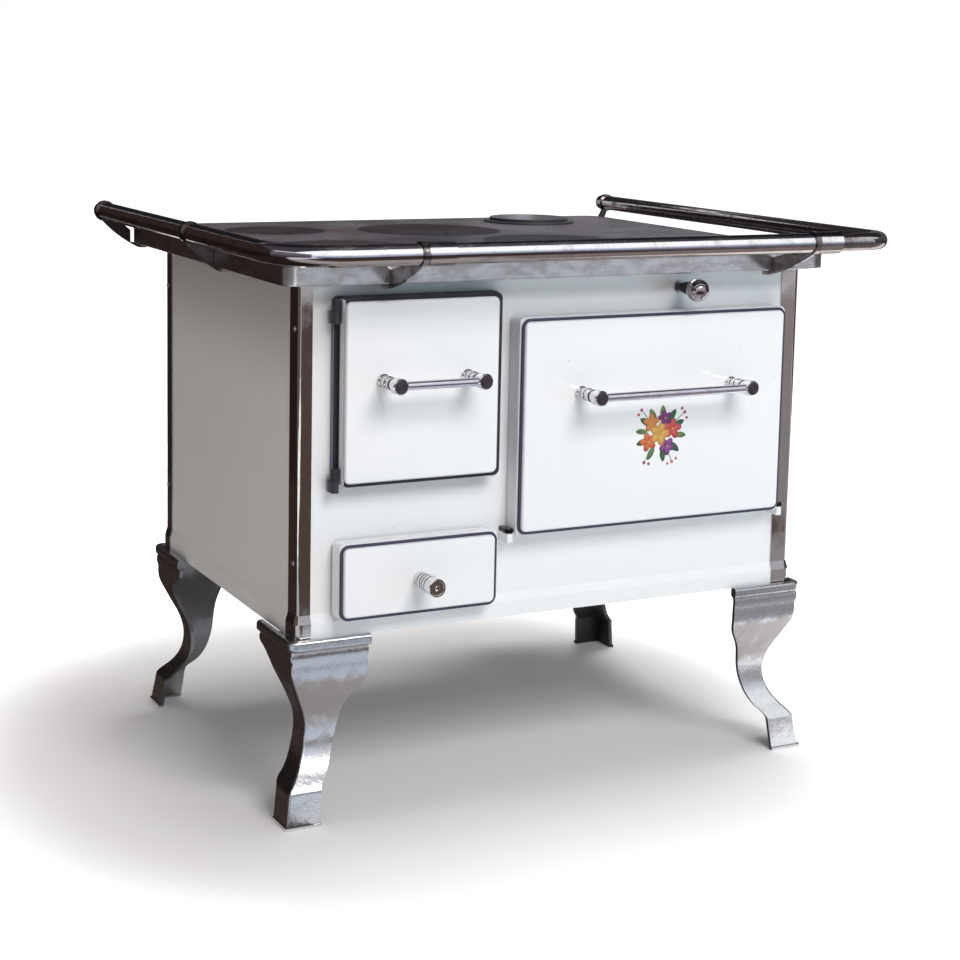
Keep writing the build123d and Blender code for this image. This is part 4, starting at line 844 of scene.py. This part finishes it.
# kind, place right and up of the middle in mm, turn in degrees, length, width, colours
motifs = [
    ("leaf", -20, 16, 152, 21, 8.5, green, moss), ("leaf", -11, 24, 118, 19, 8, moss, lime),
    ("leaf", 3, 26, 92, 20, 8.5, green, lime), ("leaf", 16, 22, 55, 19, 8, moss, green),
    ("leaf", 25, 12, 24, 18, 8, green, moss), ("leaf", 28, -2, -8, 17, 7.5, moss, lime),
    ("leaf", 20, -16, -42, 19, 8, green, moss), ("leaf", 4, -25, -84, 18, 8, moss, green),
    ("leaf", -13, -22, -118, 19, 8, green, lime), ("leaf", -25, -8, -165, 18, 8, moss, green),
    ("leaf", -27, 5, 176, 16, 7, lime, moss), ("leaf", 11, 6, 40, 15, 8, green, moss),
    ("twig", -22, 25, 128, 17, 0.9, moss, green), ("twig", 27, 20, 38, 17, 0.9, moss, green),
    ("twig", -17, -25, -125, 15, 0.9, green, moss), ("twig", 14, -27, -66, 15, 0.9, moss, moss),
    ("berry", -27.5, 31.5, 0, 4.2, 4.2, scarlet, rose),
    ("berry", -31.5, 26, 0, 3.8, 3.8, scarlet, rose),
    ("berry", 34, 25.5, 0, 4.2, 4.2, plum, rose), ("berry", 30, 30.5, 0, 3.9, 3.9, plum, rose),
    ("berry", 37, 18.5, 0, 3.6, 3.6, plum, rose), ("berry", -22, -33, 0, 4.4, 4.4, plum, rose),
    ("berry", -15.5, -35, 0, 3.9, 3.9, plum, rose),
    ("berry", 17.5, -34.5, 0, 4.3, 4.3, scarlet, apricot),
    ("berry", 23.5, -31, 0, 3.8, 3.8, scarlet, apricot),
    ("berry", 11.5, -36.5, 0, 3.4, 3.4, scarlet, rose),
    ("blossom", 17, 6, 10, 12.4, 9.6, scarlet, rose),
    ("blossom", -17, -8, 36, 11.6, 9.0, scarlet, apricot),
    ("blossom", 10, -15, 55, 10.8, 8.6, plum, violet),
    ("blossom", 6, 20, 30, 9.6, 7.4, plum, mauve),
    ("blossom", -13, 15, 20, 11.2, 8.8, ochre, apricot),
    ("blossom", -1, 1, 0, 15.0, 12.0, ochre, honey),
]

spray_points, spray_faces, spray_colours = [], [], []


def lens(cx, cz, turn, outline, dark, light, layer):
    """A closed thin shape: a rim on the glaze, a ring and a middle that stand proud."""
    start, count, tip = len(spray_points), len(outline), radians(turn)
    rise = lens_rise + layer * layer_step
    for proud, reach, shade in ((0.0, 1.0, 0.55), (0.5, 0.93, 0.80), (1.0, 0.5, 1.0)):
        for along, aside in outline:
            u, v = along * reach, aside * reach
            x = (u * cos(tip) - v * sin(tip)) * spray_scale
            z = (u * sin(tip) + v * cos(tip)) * spray_scale
            spray_points.append((spray_x + cx * spray_scale + x,
                                 spray_y - (proud * rise + (lens_lift if proud else 0)),
                                 spray_z + cz * spray_scale + z))
            side = 0.5 + 0.5 * (z - x) / lens_slope
            lit = min(1.0, max(0.0, side * 0.55 + (1 - reach) * 0.7))
            spray_colours.append([shade * (a + (b - a) * lit) for a, b in zip(dark, light)]
                                 + [1.0])
    for ring in (0, 1):
        for k in range(count):
            a, b = start + ring * count + k, start + ring * count + (k + 1) % count
            spray_faces.append((a, a + count, b + count, b))
    spray_faces.append(tuple(start + 2 * count + k for k in range(count))[::-1])
    spray_faces.append(tuple(start + k for k in range(count)))


def oval(long, wide, points, pinch=1.0):
    """An outline with its ends along X; a pinch over 1 sharpens them."""
    turns = [2 * pi * k / points for k in range(points)]
    return [(long * cos(t), wide * abs(sin(t)) ** pinch * (1 if sin(t) >= 0 else -1))
            for t in turns]


for layer, (kind, cx, cz, turn, long, wide, dark, light) in enumerate(motifs):
    if kind == "leaf":
        lens(cx, cz, turn, oval(long / 2, wide / 2, 16, 1.5), dark, light, layer)
        lens(cx, cz, turn, oval(long * 0.42, 0.28, 8), light, lime, layer + 1.5)
    elif kind in ("twig", "berry"):
        lens(cx, cz, turn, oval(long / 2, wide / 2, 12), dark, light, layer)
        if kind == "berry":
            lens(cx - long * 0.13, cz + long * 0.13, 40, oval(0.75, 0.5, 8), rose, glint,
                 layer + 1.5)
    else:
        for petal in range(5):
            way = turn + petal * 72
            lens(cx + long * 0.5 * cos(radians(way)), cz + long * 0.5 * sin(radians(way)), way,
                 oval(long * 0.56, wide * 0.46, 14, 0.8), dark, light, layer + petal * 0.2)
        lens(cx, cz, 0, oval(long * 0.2, long * 0.2, 10), umber, honey, layer + 1.6)

spray_mesh = bpy.data.meshes.new("oven_door_spray")
spray_mesh.from_pydata(spray_points, [], spray_faces)
print_layer = spray_mesh.color_attributes.new("print", "FLOAT_COLOR", "POINT")
for point, colour in zip(print_layer.data, spray_colours):
    point.color = colour
spray = placed("oven_door_spray", spray_mesh)

transfer = Finish("fired_transfer")
inks = transfer.node("ShaderNodeAttribute", {"attribute_name": "print"}).outputs["Color"]
dots = transfer.noise(0.0011, detail=2).rise(0.35, 0.65)
paler = transfer.blend(1.0, inks, (1.25, 1.2, 1.2), "MULTIPLY")
transfer.set(Base_Color=transfer.blend(dots * 0.35, inks, paler), Roughness=dots * 0.08 + 0.14)
transfer.bump(transfer.noise(0.003, detail=1), 0.00005)
spray_mesh.materials.append(transfer.material)
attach(spray, "oven_door")

# --- Ash drawer -------------------------------------------------------------------------
# A plated sheet box that slides in the pit under the grate. Its front is a shallow pan
# with an enamelled cover, with the same dark cord of painted gap shade between them.
drawer_front_y = -0.304
drawer_pan_back_y = -0.2805    # the pan is enamelled, and the box behind it is not

drawer_tin = Finish("drawer_tin")
flower, bloom = zinc_figure(drawer_tin)
glazed = drawer_tin.axes()[1] < drawer_pan_back_y
plated = drawer_tin.blend(flower * 0.6 + bloom * 0.4, zinc_dark, zinc_light)
fired = drawer_tin.blend(bloom, glaze_low, glaze_high)
drawer_tin.set(Base_Color=drawer_tin.blend(glazed, plated, fired), Metallic=1.0 - glazed,
               Roughness=flower * 0.12 + bloom * 0.12 + 0.22 - glazed * 0.14)
drawer_tin.bump(bloom, 0.0003)
coat(drawer_tin, "ash_drawer_box")
coat(glaze("drawer_enamel", ("ash_drawer_front", "xz")), "ash_drawer_front")
door_ring("ash_drawer_shade_cord", "ash_drawer_front", "ash_drawer", gap_shade,
          y=drawer_front_y - shade_cord_r, beyond=shade_cord_off, across=shade_cord_r, deep=shade_cord_r,
          corner=cover_corner)

# --- Handles and knobs ------------------------------------------------------------------
# Turned and chromed: each post is a grooved spool with a wider cap, and the bar passes
# between the caps. Painted shade darkens the grooves. The ends are left as turned and
# rougher, inside a bright rim, and painted dark as a reflection.
turned_clear, turned_hazy = (0.74, 0.73, 0.73), (0.58, 0.57, 0.575)
groove_shade = (0.05, 0.045, 0.05)
groove_half, groove_core = 0.0016, 0.0007
end_skin, end_rim, end_pitch = 0.0006, 0.0008, 0.0007


def turned_chrome(name, grooves, ends=None, clear=turned_clear, hazy=turned_hazy):
    """Chrome turned about lines along Y. grooves are the Y of its lines of painted shade;
    ends are the middles (X, Z) of its turned ends, their Y, their radius and the dark tone
    painted on them as a reflection."""
    turned = Finish(name, Metallic=1.0)
    x, y, z = turned.axes()
    line = None
    for groove in grooves:
        # painted shade along each groove
        mark = abs(y - groove).rise(groove_half, groove_core)
        line = mark if line is None else line.most(mark)
    haze = turned.noise(0.006, detail=3).rise(0.4, 0.75)
    metal = turned.blend(line * 0.92, turned.blend(haze, clear, hazy), groove_shade)
    rough = haze * 0.08 + line * 0.3 + 0.07
    relief = line * -0.8
    if ends:
        middles, end_y, end_r, end_shade = ends
        square = None
        for cx, cz in middles:
            this = (x - cx) ** 2.0 + (z - cz) ** 2.0
            square = this if square is None else square.least(this)
        radius = square.root()
        # the end face: turned and rougher, and painted dark as a reflection
        face = (y < end_y + end_skin) * radius.rise(end_r, end_r - end_rim)
        lathe = (radius * (2 * pi / end_pitch)).sine() * face * 0.5 + 0.5
        metal = turned.blend(face, metal, end_shade)
        rough = rough + face * 0.24
        relief = relief + lathe * 0.12
    turned.set(Base_Color=metal, Roughness=rough)
    turned.bump(relief, 0.0004)
    return turned


post_end_shade, knob_end_shade = (0.11, 0.095, 0.12), (0.17, 0.145, 0.105)
oven_posts = [(0.009, 0.5745), (0.2575, 0.5745)]
fire_posts = [(-0.293, 0.6075), (-0.169, 0.6075)]
damper_back_shade = (0.035, 0.030, 0.034)
shade_from_y = -0.3160

coat(turned_chrome("oven_post_chrome", (-0.3235, -0.3345, -0.3475),
                   (oven_posts, -0.371, 0.0094, post_end_shade)), "oven_handle_posts")
coat(turned_chrome("fire_post_chrome", (-0.3225, -0.3335, -0.3465),
                   (fire_posts, -0.370, 0.0094, post_end_shade)), "fire_handle_posts")
coat(turned_chrome("drawer_knob_chrome", (-0.3235, -0.3315, -0.3395, -0.3475),
                   ([(-0.233, 0.3325)], -0.365, 0.0105, knob_end_shade)), "ash_drawer_knob")
# painted shade: the damper knob's chrome is dark, its back and rod darker still
damper_chrome = turned_chrome("damper_knob_shaded_chrome", (-0.2865,), clear=(0.40, 0.36, 0.38),
                              hazy=(0.24, 0.20, 0.21))
damper_chrome.repaint(damper_chrome.axes()[1] > shade_from_y, damper_back_shade)
coat(damper_chrome, "damper_knob")
# the bars' chrome carries a lilac tint, a painted reflection
coat(chrome("bar_chrome_lilac_reflection", wave=0.02, depth=0.0001, clear=(0.62, 0.60, 0.68),
            hazy=(0.46, 0.43, 0.52), rough=0.09), "oven_handle_bar", "fire_handle_bar")

# --- Guard rail -------------------------------------------------------------------------
# Chromed tube round the front and both sides, in three lengths that butt inside sleeves,
# with domed plugs. Pressed brackets clip round it and are bolted under the band. The
# tube's colour paints its reflection, and painted shade dulls the right rail and plugs.
rail_axis_z = 0.783
tube_r = 0.014
# painted reflection, from the tube's underside, 0, to its top, 1, with a white highlight
tube_painted_reflection = ((0.03, (0.05, 0.042, 0.045)), (0.12, (0.33, 0.28, 0.26)),
              (0.34, (0.42, 0.36, 0.335)), (0.47, (0.26, 0.26, 0.34)),
              (0.56, (0.66, 0.69, 0.80)), (0.63, (0.97, 0.97, 0.99)),
              (0.84, (0.95, 0.95, 0.98)), (0.93, (0.10, 0.085, 0.10)))
tube_haze_and_shade = (0.14, 0.115, 0.11)


def painted_reflection_tube(name, unshaded):
    """Chrome tube whose colour paints its reflection; the second argument, up to 1, says how
    little brown, haze and painted shade, covers it.
    """
    tube = Finish(name, Metallic=1.0)
    height = (tube.axes()[2] - rail_axis_z) / tube_r
    tones = tube.ramp(height * 0.5 + 0.5, *tube_painted_reflection)
    haze, wipe = handled(tube)
    tube.set(Base_Color=tube.blend(haze * 0.35 + (1.0 - unshaded), tones, tube_haze_and_shade),
             Roughness=haze * 0.10 + wipe * 0.05 + 0.06)
    tube.bump(tube.noise(0.045, detail=1) * 0.985 + wipe * 0.015, 0.00025, 0.8)
    return tube


coat(painted_reflection_tube("painted_reflection_tube", 1.0), "left_rail", "front_rail", "rail_sleeves")
# painted shade: the right rail and the plugs mostly dull brown
coat(painted_reflection_tube("side_tube_painted_shade", 0.45), "right_rail", "rail_end_caps")
# the brackets' chrome is painted dark as shade, the left ones darkest
coat(chrome("bracket_painted_shade", wave=0.026, depth=0.0022, clear=(0.24, 0.21, 0.21),
            hazy=(0.06, 0.05, 0.05), rough=0.05),
     "bracket_front_left", "bracket_front_right", "bracket_right_rear")
coat(chrome("side_bracket_painted_shade", wave=0.030, depth=0.0012, clear=(0.10, 0.085, 0.085),
            hazy=(0.05, 0.042, 0.04), rough=0.08), "bracket_left_middle", "bracket_left_rear")

# --- View -------------------------------------------------------------------------------
# Colours render through the plain Standard view transform.
bpy.context.scene.view_settings.view_transform = "Standard"
